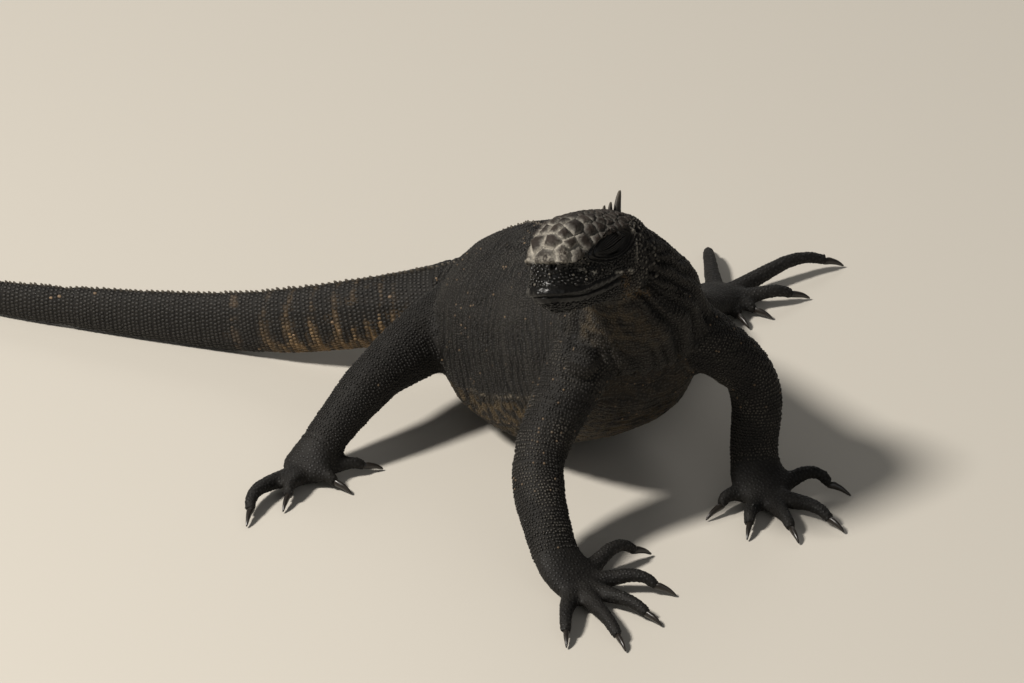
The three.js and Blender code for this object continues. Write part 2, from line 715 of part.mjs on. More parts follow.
// A digit arches to a knuckle and ends at its claw
function addDigits(name, paw, lowerGrown) {
  return paw.digits.map(([heading, reach, knuckle, bow], index) => {
    const turn = THREE.MathUtils.degToRad(heading);
    const ahead = new THREE.Vector3(Math.sin(turn), -Math.cos(turn), 0);
    const aside = new THREE.Vector3(Math.cos(turn), Math.sin(turn), 0);
    const fleshy = reach - CLAW_LENGTH;
    const profile = [
      [2, 5.2, 0],
      [fleshy * 0.36, 3.4 + knuckle * 0.22, 0.8],
      [fleshy * 0.66, 1.4 + knuckle * 0.6, 1],
      [fleshy * 0.86, 1 + knuckle * 0.6, 0.85],
      [fleshy - 0.4, 1.4 + knuckle * 0.32, 0.5],
      [fleshy + 1.2, 1.4 + knuckle * 0.27, 0.42],
      [fleshy + CLAW_LENGTH * 0.58, 1.8 + knuckle * 0.13, 0.2],
      [reach, 0.7, 0],
    ];
    const middles = profile.map(([out, height, share]) => {
      const point = vector(paw.palm).setZ(height);
      return point.addScaledVector(ahead, out).addScaledVector(aside, bow * share).toArray();
    });
    const radii = [...DIGIT_RADII, CLAW_RADII[1], CLAW_RADII[2]];
    const digit = makeForm({
      middles,
      sizes: radii.map((radius) => [radius, radius, radius]),
      sides: 7,
      rings: 10,
    });
    const clawStart = 4.6 / 7;
    const clawGap = (GAP / digit.curve.getLength()) * 1.4;
    const claw = makeForm({
      middles,
      sizes: radii.map((radius, k) => {
        const clawRadius = k < 6 ? CLAW_RADII[0] : CLAW_RADII[k - 5];
        return [clawRadius * 0.8, clawRadius, clawRadius];
      }),
      sides: 6,
      rings: 10,
    });
    const clawSolid = formSolid(claw, { from: clawStart + clawGap, to: 1 });
    addNode(`claw_${name}_${index + 1}`, clawSolid.subtract(floorSolid), CLAW_HORN);
    return formSolid(digit, { from: 0, to: clawStart }).subtract(lowerGrown);
  });
}

function addLimb([upperName, lowerName, pawName], joints, sizes, paw) {
  const form = limbForm(joints, paw.palm, sizes);
  const bend = BEND_STEP / form.last;
  const wrist = WRIST_STEP / form.last;
  const bendGap = halfGap(form, bend);
  const wristGap = halfGap(form, wrist);
  const upper = formSolid(form, { to: bend - bendGap });
  const lower = formSolid(form, { from: bend + bendGap, to: wrist - wristGap });
  const palm = formSolid(form, { from: wrist + wristGap });
  const upperGrown = formSolid(form, { to: bend, grow: GAP });
  const lowerGrown = formSolid(form, { from: bend, to: wrist, grow: GAP });
  addNode(upperName, trimmed(upper, [trunkGrown, neckGrown]), SKIN);
  addNode(lowerName, trimmed(lower, [trunkGrown, upperGrown]), SKIN);
  const digits = addDigits(pawName, paw, lowerGrown);
  addNode(pawName, trimmed(joined(palm, digits), [lowerGrown, floorSolid]), SKIN);
}

addNode('head', trimmed(headBody, []), HEAD_SKIN);
addNode('lower_jaw', jawBody, HEAD_SKIN);
Object.entries(eyeSides).forEach(([side, sign]) => {
  addNode(`eye_${side}`, headSolid(eyeGeometry(sign, 0)).subtract(lidSlit(sign)), LID_SKIN);
});
addNode('neck', neckBody, SKIN);
const chestFrom = trunkShare(2.6);
const chestTo = trunkShare(CHEST_ENDS) - 0.006;
const chestSpines = crestSpines(trunkForm, chestFrom, chestTo, BACK_SPINE.step, () => backSpineSize(0));
addNode('chest', joined(chestBody, chestSpines.map((spine) => spine.subtract(neckGrown))), BELLY_SKIN);
const abdomenFrom = trunkShare(CHEST_ENDS) + 0.006;
const abdomenTo = trunkShare(ABDOMEN_ENDS) - 0.006;
const backSpines = crestSpines(trunkForm, abdomenFrom, abdomenTo, BACK_SPINE.step, backSpineSize);
addNode('abdomen', joined(abdomenBody, backSpines), BELLY_SKIN);

const tailStarts = [ABDOMEN_ENDS, ...TAIL_ENDS.slice(0, -1)];
const tailNames = ['tail_base', 'tail_middle', 'tail_rear', 'tail_tip'];
const tailWhole = [trunkShare(ABDOMEN_ENDS), 1];
tailNames.forEach((name, k) => {
  const flesh = trunkLength(tailForm, tailStarts[k], TAIL_ENDS[k]).subtract(floorSolid);
  const from = trunkShare(tailStarts[k]) + 0.005;
  const to = trunkShare(TAIL_ENDS[k]) - 0.005;
  const sizeAt = (share) => {
    const t = from + (to - from) * share;
    return tailSpineSize((t - tailWhole[0]) / (tailWhole[1] - tailWhole[0]));
  };
  addNode(name, joined(flesh, crestSpines(tailForm, from, to, TAIL_SPINE.step, sizeAt)), SKIN);
});

addLimb(['right_upper_arm', 'right_forearm', 'right_hand'], RIGHT_ARM, ARM_SIZES, RIGHT_HAND);
addLimb(['left_upper_arm', 'left_forearm', 'left_hand'], LEFT_ARM, ARM_SIZES, LEFT_HAND);
addLimb(['right_thigh', 'right_shank', 'right_foot'], RIGHT_LEG, LEG_SIZES, RIGHT_FOOT);
addLimb(['left_thigh', 'left_shank', 'left_foot'], LEFT_LEG, LEG_SIZES, LEFT_FOOT);

// The frame's origin is the middle of the floor under the whole animal
const box = new THREE.Box3().setFromObject(group);
group.position.set(-(box.min.x + box.max.x) / 2, -(box.min.y + box.max.y) / 2, 0);
group.updateMatrixWorld(true);

export default group;
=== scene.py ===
import math

import bmesh
import bpy
import numpy as np
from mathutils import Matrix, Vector, noise
from mathutils.bvhtree import BVHTree


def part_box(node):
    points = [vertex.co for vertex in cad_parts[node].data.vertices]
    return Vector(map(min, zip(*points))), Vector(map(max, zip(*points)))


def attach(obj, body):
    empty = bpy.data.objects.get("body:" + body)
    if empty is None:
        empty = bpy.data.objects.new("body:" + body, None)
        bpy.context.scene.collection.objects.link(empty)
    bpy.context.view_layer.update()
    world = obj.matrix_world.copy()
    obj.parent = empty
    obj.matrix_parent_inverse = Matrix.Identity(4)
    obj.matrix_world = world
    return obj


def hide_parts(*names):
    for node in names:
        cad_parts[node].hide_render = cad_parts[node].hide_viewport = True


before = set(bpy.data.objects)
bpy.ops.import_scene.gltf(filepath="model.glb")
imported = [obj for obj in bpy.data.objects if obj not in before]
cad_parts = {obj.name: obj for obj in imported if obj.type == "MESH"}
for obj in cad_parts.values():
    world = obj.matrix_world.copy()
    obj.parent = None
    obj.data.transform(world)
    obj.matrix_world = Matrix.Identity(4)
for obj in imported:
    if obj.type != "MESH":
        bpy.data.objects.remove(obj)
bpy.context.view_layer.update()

# The camera looks down on the animal from in front of its right shoulder, from a few metres off
# with a long lens, as the photograph was taken.
TRUNK_ORIGIN = Vector((0.031951, -0.118351, 0.0))
VIEW_TURN = math.radians(-26)
VIEW_RISE = math.radians(28)
VIEW_DISTANCE = 5.9724
VIEW_MIDDLE = (-32.9, 16.0, 58.9)


def placed(x, y, z):
    return Vector((x, y, z)) / 1000 + TRUNK_ORIGIN


back = Vector((
    math.sin(VIEW_TURN) * math.cos(VIEW_RISE),
    -math.cos(VIEW_TURN) * math.cos(VIEW_RISE),
    math.sin(VIEW_RISE),
))
camera_data = bpy.data.cameras.new("camera")
camera_data.sensor_width = 36
camera_data.lens = 472.5
camera_data.clip_start = 0.5
camera_data.clip_end = 30
camera = bpy.data.objects.new("camera", camera_data)
camera.location = placed(*VIEW_MIDDLE) + back * VIEW_DISTANCE
camera.rotation_euler = back.to_track_quat("Z", "Y").to_euler()
bpy.context.scene.collection.objects.link(camera)
bpy.context.scene.camera = camera

# A plain pale floor under soft studio light: a broad key from the upper left, a wide fill from
# the camera's side and a low rim from behind.
FLOOR_COLOR = (0.53, 0.5, 0.445, 1)


def add_material(name, roughness, specular=0.5):
    material = bpy.data.materials.new(name)
    material.use_nodes = True
    shader = material.node_tree.nodes["Principled BSDF"]
    shader.inputs["Roughness"].default_value = roughness
    shader.inputs["Specular IOR Level"].default_value = specular
    return material, material.node_tree, shader


floor_bm = bmesh.new()
bmesh.ops.create_grid(floor_bm, x_segments=2, y_segments=2, size=6)
bmesh.ops.translate(floor_bm, verts=floor_bm.verts, vec=(0, 0, -0.0003))
floor_mesh = bpy.data.meshes.new("floor")
floor_bm.to_mesh(floor_mesh)
floor_bm.free()
floor = bpy.data.objects.new("floor", floor_mesh)
bpy.context.scene.collection.objects.link(floor)
floor_material, floor_tree, floor_shader = add_material("pale_floor", 0.9, 0.2)
floor_shader.inputs["Base Color"].default_value = FLOOR_COLOR
floor_mesh.materials.append(floor_material)


def add_area_light(name, place, size, power, color):
    data = bpy.data.lights.new(name, "AREA")
    data.shape = "DISK"
    data.size = size
    data.energy = power
    data.color = color
    light = bpy.data.objects.new(name, data)
    light.location = place
    light.rotation_euler = (light.location - Vector((0, 0, 0.06))).to_track_quat("Z", "Y").to_euler()
    bpy.context.scene.collection.objects.link(light)


add_area_light("key", (-2.0, 0.0, 2.3), 0.5, 130, (1, 0.955, 0.89))
add_area_light("fill", (-0.4, -2.7, 1.5), 2.2, 7, (0.97, 0.98, 1))
add_area_light("rim", (1.2, 1.9, 1.5), 1.2, 9, (1, 0.98, 0.95))
world = bpy.data.worlds.new("studio")
world.use_nodes = True
world.node_tree.nodes["Background"].inputs["Color"].default_value = (1, 0.99, 0.97, 1)
world.node_tree.nodes["Background"].inputs["Strength"].default_value = 0.13
bpy.context.scene.world = world
bpy.context.scene.view_settings.view_transform = "Standard"

# The skin: one loose, wrinkled hide over the whole animal, drawn over the lengths of the body.
# The lengths are swollen until they meet, joined, and smoothed where they ran together.
FLESH = [
    "head", "lower_jaw", "neck", "chest", "abdomen",
    "tail_base", "tail_middle", "tail_rear", "tail_tip",
    "right_upper_arm", "right_forearm", "right_hand",
    "left_upper_arm", "left_forearm", "left_hand",
    "right_thigh", "right_shank", "right_foot",
    "left_thigh", "left_shank", "left_foot",
]
SWELL = 0.00035
SKIN_GRAIN = 0.0014
# stations of the trunk and tail, from the breast to the tip: middle, height above the middle
TRUNK = [
    ((0, -55, 86), 14), ((0, -47, 85), 29), ((-1, -30, 79), 39), ((-2, -8, 67), 45),
    ((-3, 20, 57), 47), ((-4, 45, 51), 45), ((-5, 66, 46), 37.5), ((-9, 84, 40), 26.5),
    ((-19, 100, 36), 19.5), ((-37, 112, 31), 18.5), ((-58, 125, 26), 18),
    ((-80, 142, 20), 17), ((-101, 163, 14.5), 15.2), ((-124, 184, 12), 13.6),
    ((-147, 206, 10.3), 12), ((-180, 239, 8.5), 9.2), ((-211, 277, 6.8), 7.4),
    ((-234, 320, 5.1), 5.4), ((-245, 364, 3.4), 3.5), ((-247, 402, 1.9), 1.7),
]
NECK = [
    ((-23, -58, 139), 14, (0.75, 0.35, 0.55)), ((-12, -52, 131), 14, (0.6, 0.6, 0.5)),
    ((-6, -47, 116), 20, (0.35, 0.85, 0.35)), ((-2, -42, 101), 27, (0.15, 1, 0.3)),
    ((0, -35, 87), 25, (0, 1, 0.35)), ((0, -31, 78), 16, (0, 1, 0.4)),
]
# the head's own frame: middle between the eyes, forward, left, up
HEAD_MIDDLE = placed(-39, -62, 146)
HEAD_TURN = math.radians(64.7)
HEAD_RISE = math.radians(10)
HEAD_TILT = math.radians(18)
HEAD_AXIS = -10
# the head's flat plated top: distance forward of the eyes, half width, height above its axis
HEAD_RINGS = np.array([
    (-38, 11.4, 12.6), (-30, 16.4, 17.6), (-20, 17.8, 21.2), (-12, 17.6, 22.7), (-4, 16.9, 23.4),
    (5, 15.6, 23.6), (12, 14, 22.9), (18, 12.4, 20.8), (22, 11, 18), (25.2, 9.2, 14.2), (27.8, 7, 9),
    (29.4, 4.2, 4.4),
])


def smooth_line(points, count):
    """A smooth curve through points, as count places with their share of the way along."""
    points = np.asarray(points, float)
    ends = np.vstack([2 * points[0] - points[1], points, 2 * points[-1] - points[-2]])
    share = np.linspace(0, len(points) - 1 - 1e-9, count)
    k = share.astype(int)
    t = (share - k)[:, None]
    a, b, c, d = ends[k], ends[k + 1], ends[k + 2], ends[k + 3]
    curve = 0.5 * (2 * b + (c - a) * t + (2 * a - 5 * b + 4 * c - d) * t**2
                   + (3 * b - a - 3 * c + d) * t**3)
    return curve, share


def line_frames(line, ups):
    """At each place of a line: the way along, to the left and up."""
    along = np.gradient(line, axis=0)
    along /= np.linalg.norm(along, axis=1, keepdims=True)
    left = np.cross(along, ups)
    left /= np.linalg.norm(left, axis=1, keepdims=True)
    return along, left, np.cross(left, along)


def nearest_place(points, line):
    """For each point, the index of the nearest place of a line and how far off it is."""
    found = np.empty(len(points), int)
    away = np.empty(len(points))
    for start in range(0, len(points), 4000):
        part = points[start:start + 4000]
        gap = np.linalg.norm(part[:, None, :] - line[None, :, :], axis=2)
        found[start:start + 4000] = gap.argmin(1)
        away[start:start + 4000] = gap.min(1)
    return found, away


def smoothstep(low, high, value):
    t = np.clip((value - low) / (high - low), 0, 1)
    return t * t * (3 - 2 * t)


def places_of(mesh):
    found = np.empty(len(mesh.vertices) * 3)
    mesh.vertices.foreach_get("co", found)
    return found.reshape(-1, 3)


def normals_of(mesh):
    found = np.empty(len(mesh.vertices) * 3)
    mesh.vertices.foreach_get("normal", found)
    return found.reshape(-1, 3)


def move_places(mesh, places):
    mesh.vertices.foreach_set("co", np.ascontiguousarray(places, float).ravel())
    mesh.update()


def to_body(places):
    """Metres in the frame as millimetres from the trunk's origin."""
    return (places - np.array(TRUNK_ORIGIN)) * 1000


def with_modifier(source, kind, **settings):
    """A mesh run through one modifier, as a new mesh."""
    holder = bpy.data.objects.new("holder", source)
    bpy.context.scene.collection.objects.link(holder)
    modifier = holder.modifiers.new("shape", kind)
    for key, value in settings.items():
        setattr(modifier, key, value)
    depsgraph = bpy.context.evaluated_depsgraph_get()
    made = bpy.data.meshes.new_from_object(holder.evaluated_get(depsgraph))
    bpy.data.objects.remove(holder)
    return made


flesh_bm = bmesh.new()
flesh_owner = []
for index, name in enumerate(FLESH):
    faces_before = len(flesh_bm.faces)
    node_bm = bmesh.new()
    node_bm.from_mesh(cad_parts[name].data)
    bmesh.ops.remove_doubles(node_bm, verts=node_bm.verts, dist=1e-6)
    node_bm.normal_update()
    swollen = [v.co + v.normal * SWELL for v in node_bm.verts]
    for vertex, place in zip(node_bm.verts, swollen):
        vertex.co = place
    node_mesh = bpy.data.meshes.new("node_copy")
    node_bm.to_mesh(node_mesh)
    node_bm.free()
    flesh_bm.from_mesh(node_mesh)
    bpy.data.meshes.remove(node_mesh)
    flesh_owner += [index] * (len(flesh_bm.faces) - faces_before)
flesh_bm.faces.ensure_lookup_table()
flesh_tree = BVHTree.FromBMesh(flesh_bm)
flesh_mesh = bpy.data.meshes.new("flesh")
flesh_bm.to_mesh(flesh_mesh)
flesh_bm.free()
flesh_owner = np.array(flesh_owner)


def owners(places):
    """Which length of the body each place lies on."""
    return flesh_owner[[flesh_tree.find_nearest(Vector(p))[2] for p in places]]


head_forward = Vector((
    -math.sin(HEAD_TURN) * math.cos(HEAD_RISE),
    -math.cos(HEAD_TURN) * math.cos(HEAD_RISE),
    math.sin(HEAD_RISE),
))
head_level = Vector((math.cos(HEAD_TURN), -math.sin(HEAD_TURN), 0))
head_left = head_level * math.cos(HEAD_TILT) + head_forward.cross(head_level) * math.sin(HEAD_TILT)
head_up = head_forward.cross(head_left)
head_axes = np.array([head_forward, head_left, head_up])


def to_head(places):
    """Metres in the frame as millimetres in the head's frame: forward, left, up."""
    return (places - np.array(HEAD_MIDDLE)) @ head_axes.T * 1000


def from_head(places):
    return np.asarray(places, float) / 1000 @ head_axes + np.array(HEAD_MIDDLE)


skin_mesh = with_modifier(flesh_mesh, "REMESH", mode="VOXEL", voxel_size=SKIN_GRAIN)

# the trunk's and the neck's own lines, to lay crest and folds by
trunk_line, trunk_share = smooth_line([place for place, _ in TRUNK], 900)
trunk_up = np.interp(trunk_share, range(len(TRUNK)), [up for _, up in TRUNK])
trunk_along, trunk_left, trunk_above = line_frames(trunk_line, np.array([0, 0, 1.0]))
trunk_reach = np.concatenate([[0], np.cumsum(np.linalg.norm(np.diff(trunk_line, axis=0), axis=1))])
neck_line, neck_share = smooth_line([place for place, _, _ in NECK], 160)
neck_ups = smooth_line([ups for _, _, ups in NECK], 160)[0]
neck_up = np.interp(neck_share, range(len(NECK)), [up for _, up, _ in NECK])
neck_along, neck_left, neck_above = line_frames(neck_line, neck_ups)


def level_crest(body, line, left, above, limit):
    """Draws the hide down to the back's own line where the coarse crest stands."""
    place, _ = nearest_place(body, line)
    offset = body - line[place]
    side = np.abs((offset * left[place]).sum(1))
    rise = (offset * above[place]).sum(1)
    extra = np.clip(rise - limit[place] + 0.1, 0, None)
    extra *= (side < 4) & (rise > 0) & (rise < limit[place] + 13)
    return body - above[place] * extra[:, None]


trunk_names = [FLESH.index(n) for n in FLESH[3:9]]
skin_body = to_body(places_of(skin_mesh))
skin_owner = owners(places_of(skin_mesh))
on_trunk = np.isin(skin_owner, trunk_names)
on_neck = skin_owner == FLESH.index("neck")
skin_body[on_trunk] = level_crest(skin_body[on_trunk], trunk_line, trunk_left, trunk_above, trunk_up)
skin_body[on_neck] = level_crest(skin_body[on_neck], neck_line, neck_left, neck_above, neck_up)
places = skin_body / 1000 + np.array(TRUNK_ORIGIN)
in_head = to_head(places)
side = in_head[:, 1]
above = in_head[:, 2] - HEAD_AXIS
wide = np.interp(in_head[:, 0], HEAD_RINGS[:, 0], HEAD_RINGS[:, 1])
high = np.interp(in_head[:, 0], HEAD_RINGS[:, 0], HEAD_RINGS[:, 2])
beyond = (np.abs(side / wide) ** 2.8 + np.abs(above / high) ** 2.8) ** (1 / 2.8)
on_cap = smoothstep(0.15, 0.75, above / np.maximum(np.abs(side), 1)) * smoothstep(2, 6, above)
on_cap *= (skin_owner == FLESH.index("head")) * (1 - smoothstep(26.5, 28.5, in_head[:, 0]))
factor = 1 + on_cap * (np.clip(1 / np.maximum(beyond, 0.1), 0.6, 1.5) - 1)
in_head[:, 1] *= factor
in_head[:, 2] = HEAD_AXIS + above * factor
places = np.where((on_cap > 0)[:, None], from_head(in_head), places)
move_places(skin_mesh, places)
skin_mesh = with_modifier(skin_mesh, "SMOOTH", factor=0.5, iterations=5)


def join_weights(mesh, owner):
    """How near each vertex is to where two lengths of the body meet, from 1 down to 0."""
    ends = np.empty(len(mesh.edges) * 2, np.int32)
    mesh.edges.foreach_get("vertices", ends)
    a, b = ends.reshape(-1, 2).T
    jaw = np.isin(owner, [FLESH.index("head"), FLESH.index("lower_jaw")])
    meets = (owner[a] != owner[b]) & ~(jaw[a] & jaw[b])
    weight = np.zeros(len(owner))
    weight[a[meets]] = weight[b[meets]] = 1
    for _ in range(6):
        spread = weight.copy()
        np.maximum.at(spread, a, weight[b] - 0.15)
        np.maximum.at(spread, b, weight[a] - 0.15)
        weight = spread
    return weight


def smooth_by_weight(mesh, weight, iterations):
    holder = bpy.data.objects.new("holder", mesh)
    group = holder.vertex_groups.new(name="soft")
    for level in range(1, 21):
        chosen = np.where(np.round(weight * 20) == level)[0]
        group.add(chosen.tolist(), level / 20, "REPLACE")
    bpy.context.scene.collection.objects.link(holder)
    modifier = holder.modifiers.new("soften", "SMOOTH")
    modifier.factor = 0.5
    modifier.iterations = iterations
    modifier.vertex_group = "soft"
    depsgraph = bpy.context.evaluated_depsgraph_get()
    made = bpy.data.meshes.new_from_object(holder.evaluated_get(depsgraph))
    bpy.data.objects.remove(holder)
    return made


skin_mesh = smooth_by_weight(skin_mesh, join_weights(skin_mesh, owners(places_of(skin_mesh))), 26)

# the hide lies inside the lengths by the depth of its coat, less on hands and feet
COAT_DEPTH = {"head": 0.35, "lower_jaw": 0.35, "hand": 0.0, "foot": 0.0, "arm": 0.45, "shank": 0.4}
depths = np.array([next((d for key, d in COAT_DEPTH.items() if name.endswith(key)), 0.5) for name in FLESH])
depth = depths[owners(places_of(skin_mesh))] + SWELL * 1000
edge_ends = np.empty(len(skin_mesh.edges) * 2, np.int32)
skin_mesh.edges.foreach_get("vertices", edge_ends)
edge_ends = edge_ends.reshape(-1, 2)
for _ in range(12):
    total, number = depth.copy(), np.ones(len(depth))
    for a, b in ((0, 1), (1, 0)):
        np.add.at(total, edge_ends[:, a], depth[edge_ends[:, b]])
        np.add.at(number, edge_ends[:, a], 1)
    depth = total / number
move_places(skin_mesh, places_of(skin_mesh) - normals_of(skin_mesh) * depth[:, None] / 1000)

# The head is finer than the rest: its hide is divided again round the face, and once more over
# the snout, where the plates are.
HEAD_BACK = -37


def divide(mesh, chosen):
    """Halves the edges of the faces whose middles are chosen."""
    bm = bmesh.new()
    bm.from_mesh(mesh)
    middles = np.array([f.calc_center_median() for f in bm.faces])
    keep = chosen(middles)
    edges = {e for f, inside in zip(bm.faces, keep) if inside for e in f.edges}
    bmesh.ops.subdivide_edges(bm, edges=list(edges), cuts=1, use_grid_fill=True)
    finer = bpy.data.meshes.new("hide")
    bm.to_mesh(finer)
    bm.free()
    return finer


def on_head(middles):
    p = to_head(middles)
    return (p[:, 0] > HEAD_BACK) & (p[:, 0] < 34) & (np.abs(p[:, 1]) < 24) & (p[:, 2] > -31)


def on_face(middles):
    p = to_head(middles)
    top_side = (p[:, 2] > -8) & (p[:, 0] > -26) & (p[:, 0] < 34)
    lips = (p[:, 0] > -12) & (p[:, 2] > -24)
    return (top_side | lips) & (np.abs(p[:, 1]) < 21) & (p[:, 2] < 20)


skin_mesh = divide(skin_mesh, on_head)
skin_mesh = divide(skin_mesh, on_face)
skin_mesh = with_modifier(skin_mesh, "SMOOTH", factor=0.5, iterations=2)

# Folds and plates of the hide itself: humped plates over the top of the head, the line of the
# mouth between its rolled lips, the nostrils, folds round the shut eye, and the body's wrinkles.
# plates of the head's left side: distance forward, angle round its axis from the side, radius
PLATES = [
    (26.4, 74, 3.7), (22, 76, 3.3), (21.6, 47, 3.2), (15.6, 34, 4.2), (17.5, 100, 2.9),
    (17.4, 71, 3.1), (17.6, 51, 2.5), (10.3, 69, 4.3), (10, 46, 3.3), (11.2, 96, 2.7), (5.1, 55, 2.7),
    (4.3, 42, 2.1), (4.2, 86, 2.5), (-1.6, 53, 2.1), (-0.6, 41, 1.9), (2.6, 71, 2.3), (-2.6, 70, 2.0),
    (-2.9, 86, 2.0), (-4.7, 61, 1.8), (-4.4, 43, 1.6), (-7.6, 46, 1.5), (-10.6, 46, 1.5),
    (-13.5, 44, 1.5), (-8, 56, 1.7), (-16, 40, 1.4),
]
# the lower edge of the plated part, as distance forward and height
RIDGE = [(-32, 7), (-20, 5), (-14, 3.6), (-7, 3.4), (3, 2.2), (11.5, -1.4), (14, -3.4), (18, -4.9),
         (22, -4.4), (27, -3.2), (31, -4)]
EYE = (-5.6, 14.0, -1.0)
EYE_SLOPE = math.radians(9)
MOUTH = [(-9, -16.4), (-4, -17.4), (2, -18.8), (12, -19.9), (20, -19), (27, -17.6), (34, -17.2)]
NOSTRIL = (25.8, 6.2, -4.6)
# pale border behind the eye, and the pale marks below it
ORBIT = [(-19, 7), (-19.2, 0.9), (-19, -6), (-16.8, -12)]
PALE_MARKS = [[(14.5, -8.8), (12, -9.8)], [(10, -11.2), (7, -11.4)], [(-3.5, -13.6), (-6.5, -14.2)],
              [(-11.5, -14.8), (-14.5, -15.4)]]


def hashed(points, scale, seed=0.0):
    """Smooth noise between about -1 and 1 at each point, features about scale wide."""
    shifted = (points / scale + seed).tolist()
    return np.array([noise.noise(p) for p in shifted])


def curve_at(value, pairs):
    return np.interp(value, [x for x, _ in pairs], [y for _, y in pairs])


def from_path(across, upright, path):
    """How far flat places are from a path of straight pieces."""
    away = np.full(len(across), 1e9)
    for (x0, y0), (x1, y1) in zip(path, path[1:]):
        t = ((across - x0) * (x1 - x0) + (upright - y0) * (y1 - y0)) / ((x1 - x0) ** 2 + (y1 - y0) ** 2)
        t = np.clip(t, 0, 1)
        away = np.minimum(away, np.hypot(across - x0 - t * (x1 - x0), upright - y0 - t * (y1 - y0)))
    return away


hide_tree = BVHTree.FromPolygons(
    [tuple(p) for p in places_of(skin_mesh)], [tuple(f.vertices) for f in skin_mesh.polygons])


def head_spot(x, angle):
    """The place on the head's hide at a distance forward and an angle round its axis."""
    start = Vector(from_head([(x, 0, HEAD_AXIS)])[0])
    across = Vector(np.array([0, math.cos(angle), math.sin(angle)]) @ head_axes)
    hit = hide_tree.ray_cast(start, across, 0.05)
    return np.array(hit[0]) if hit[0] else None


plate_random = np.random.default_rng(5)
plate_list = []
for x, angle, radius in PLATES:
    plate_list.append((x, angle, radius))
    if x < 26:
        plate_list.append((x + plate_random.uniform(-0.8, 0.8), 180 - angle, radius))
for x in np.arange(-6, -32, -2.9):
    for angle in np.arange(62, 120, 12):
        plate_list.append((x + plate_random.uniform(-1, 1), angle + plate_random.uniform(-4, 4), 1.5))
    if x < -17:
        plate_list += [(x, 42, 1.5), (x, 52, 1.5), (x, 138, 1.5), (x, 128, 1.5)]
plate_found = [(head_spot(x, math.radians(angle)), radius) for x, angle, radius in plate_list]
plate_spots = to_head(np.array([p for p, _ in plate_found if p is not None]))
plate_sizes = np.array([radius for p, radius in plate_found if p is not None])


def plate_cells(q):
    """How far inside its plate each place of the head lies, and how big the plate is."""
    power = ((q[:, None, :] - plate_spots[None]) ** 2).sum(2) - plate_sizes ** 2
    pair = np.argpartition(power, 1, axis=1)[:, :2]
    both = np.take_along_axis(power, pair, 1)
    swap = both[:, 0] > both[:, 1]
    pair[swap] = pair[swap][:, ::-1]
    both[swap] = both[swap][:, ::-1]
    apart = np.linalg.norm(plate_spots[pair[:, 0]] - plate_spots[pair[:, 1]], axis=1)
    return (both[:, 1] - both[:, 0]) / (2 * apart), plate_sizes[pair[:, 0]], pair[:, 0]


def plated_share(q):
    ridge = curve_at(q[:, 0], RIDGE) + 0.5 * hashed(q, 3.5, 1)
    return smoothstep(-0.5, 0.5, q[:, 2] - ridge) * smoothstep(-32, -28, q[:, 0])


def eye_ring(q):
    """Almond rings round the eye: 1 at the lids' edge, growing outward."""
    along = (q[:, 0] - EYE[0]) * math.cos(EYE_SLOPE) - (q[:, 2] - EYE[2]) * math.sin(EYE_SLOPE)
    across = (q[:, 0] - EYE[0]) * math.sin(EYE_SLOPE) + (q[:, 2] - EYE[2]) * math.cos(EYE_SLOPE)
    return np.abs(along / 11.4) ** 1.7 + np.abs(across / 4.6) ** 1.7


places = places_of(skin_mesh)
normals = normals_of(skin_mesh)
near_head = on_head(places)
fine = np.where(near_head)[0]
local = to_head(places[fine])
forward, side, height = local.T
edge, size, _ = plate_cells(local)
edge += 0.22 * hashed(local, 1.1, 12)
plated = plated_share(local)
hump = 1 - (1 - np.clip(edge / (0.85 * size), 0, 1)) ** 2
relief = (0.5 + 0.36 * size) * (hump - 0.5)
rise = plated * (0.25 + relief + 0.24 * hashed(local, 0.9, 4) + 0.35 * hashed(local, 4, 2))
# the snout is boxed by the plates at its shoulders
for turn in (1, -1):
    gap = np.sqrt(((forward - 19) / 7) ** 2 + ((side - turn * 7) / 4.5) ** 2 + ((height - 4) / 5) ** 2)
    rise += 0.5 * np.exp(-gap ** 2)
# the brow stands over the eye and the hollow in front of it
ridge = curve_at(forward, RIDGE)
brow = np.exp(-((height - ridge - 0.9) / 1.5) ** 2) * smoothstep(-19, -13, forward)
rise += 0.75 * brow * (np.abs(side) > 5)
hollow = np.exp(-((forward - 13.5) / 6.5) ** 2 - ((height + 8.2) / 2.9) ** 2)
rise -= 1.5 * hollow * (np.abs(side) > 7)
# the mouth: a deep narrow groove, the lips rolled on both sides, the upper one in plates
mouth_height = curve_at(forward, MOUTH)
from_mouth = height - mouth_height
in_mouth = smoothstep(-11, -8, forward) * (height < -9)
rise -= 1.0 * in_mouth * (1 - smoothstep(0.05, 0.6, np.abs(from_mouth)))
lip = in_mouth * np.exp(-((from_mouth - 2.6) / 1.7) ** 2)
rise += 2.9 * smoothstep(7, 18, forward) * np.exp(-((height + 16) / 3.4) ** 2)
around_lip = forward - 0.8 * np.abs(side)
rise += lip * (0.45 + 0.4 * np.abs(np.sin(around_lip * math.pi / 3.4 + 0.3 * hashed(local, 4))) ** 0.4)
rise += in_mouth * np.exp(-((from_mouth + 1.9) / 1.2) ** 2) * (0.25 + 0.3 * np.abs(np.sin(around_lip * math.pi / 3.8)) ** 0.4)
rise -= 0.4 * in_mouth * np.exp(-((from_mouth - 4.6) / 0.5) ** 2)
rise += 0.14 * (1 - plated) * hashed(local, 1.5, 5)
# the nostrils: upright ovals in a low rim
for turn in (1, -1):
    oval = np.hypot((side - turn * NOSTRIL[1]) / 1.3, (height - NOSTRIL[2]) / 1.9)
    rise -= 2.0 * (1 - smoothstep(0.5, 1.05, oval)) * (forward > 20)
    rise += 0.45 * np.exp(-((oval - 1.4) / 0.3) ** 2) * (forward > 20)
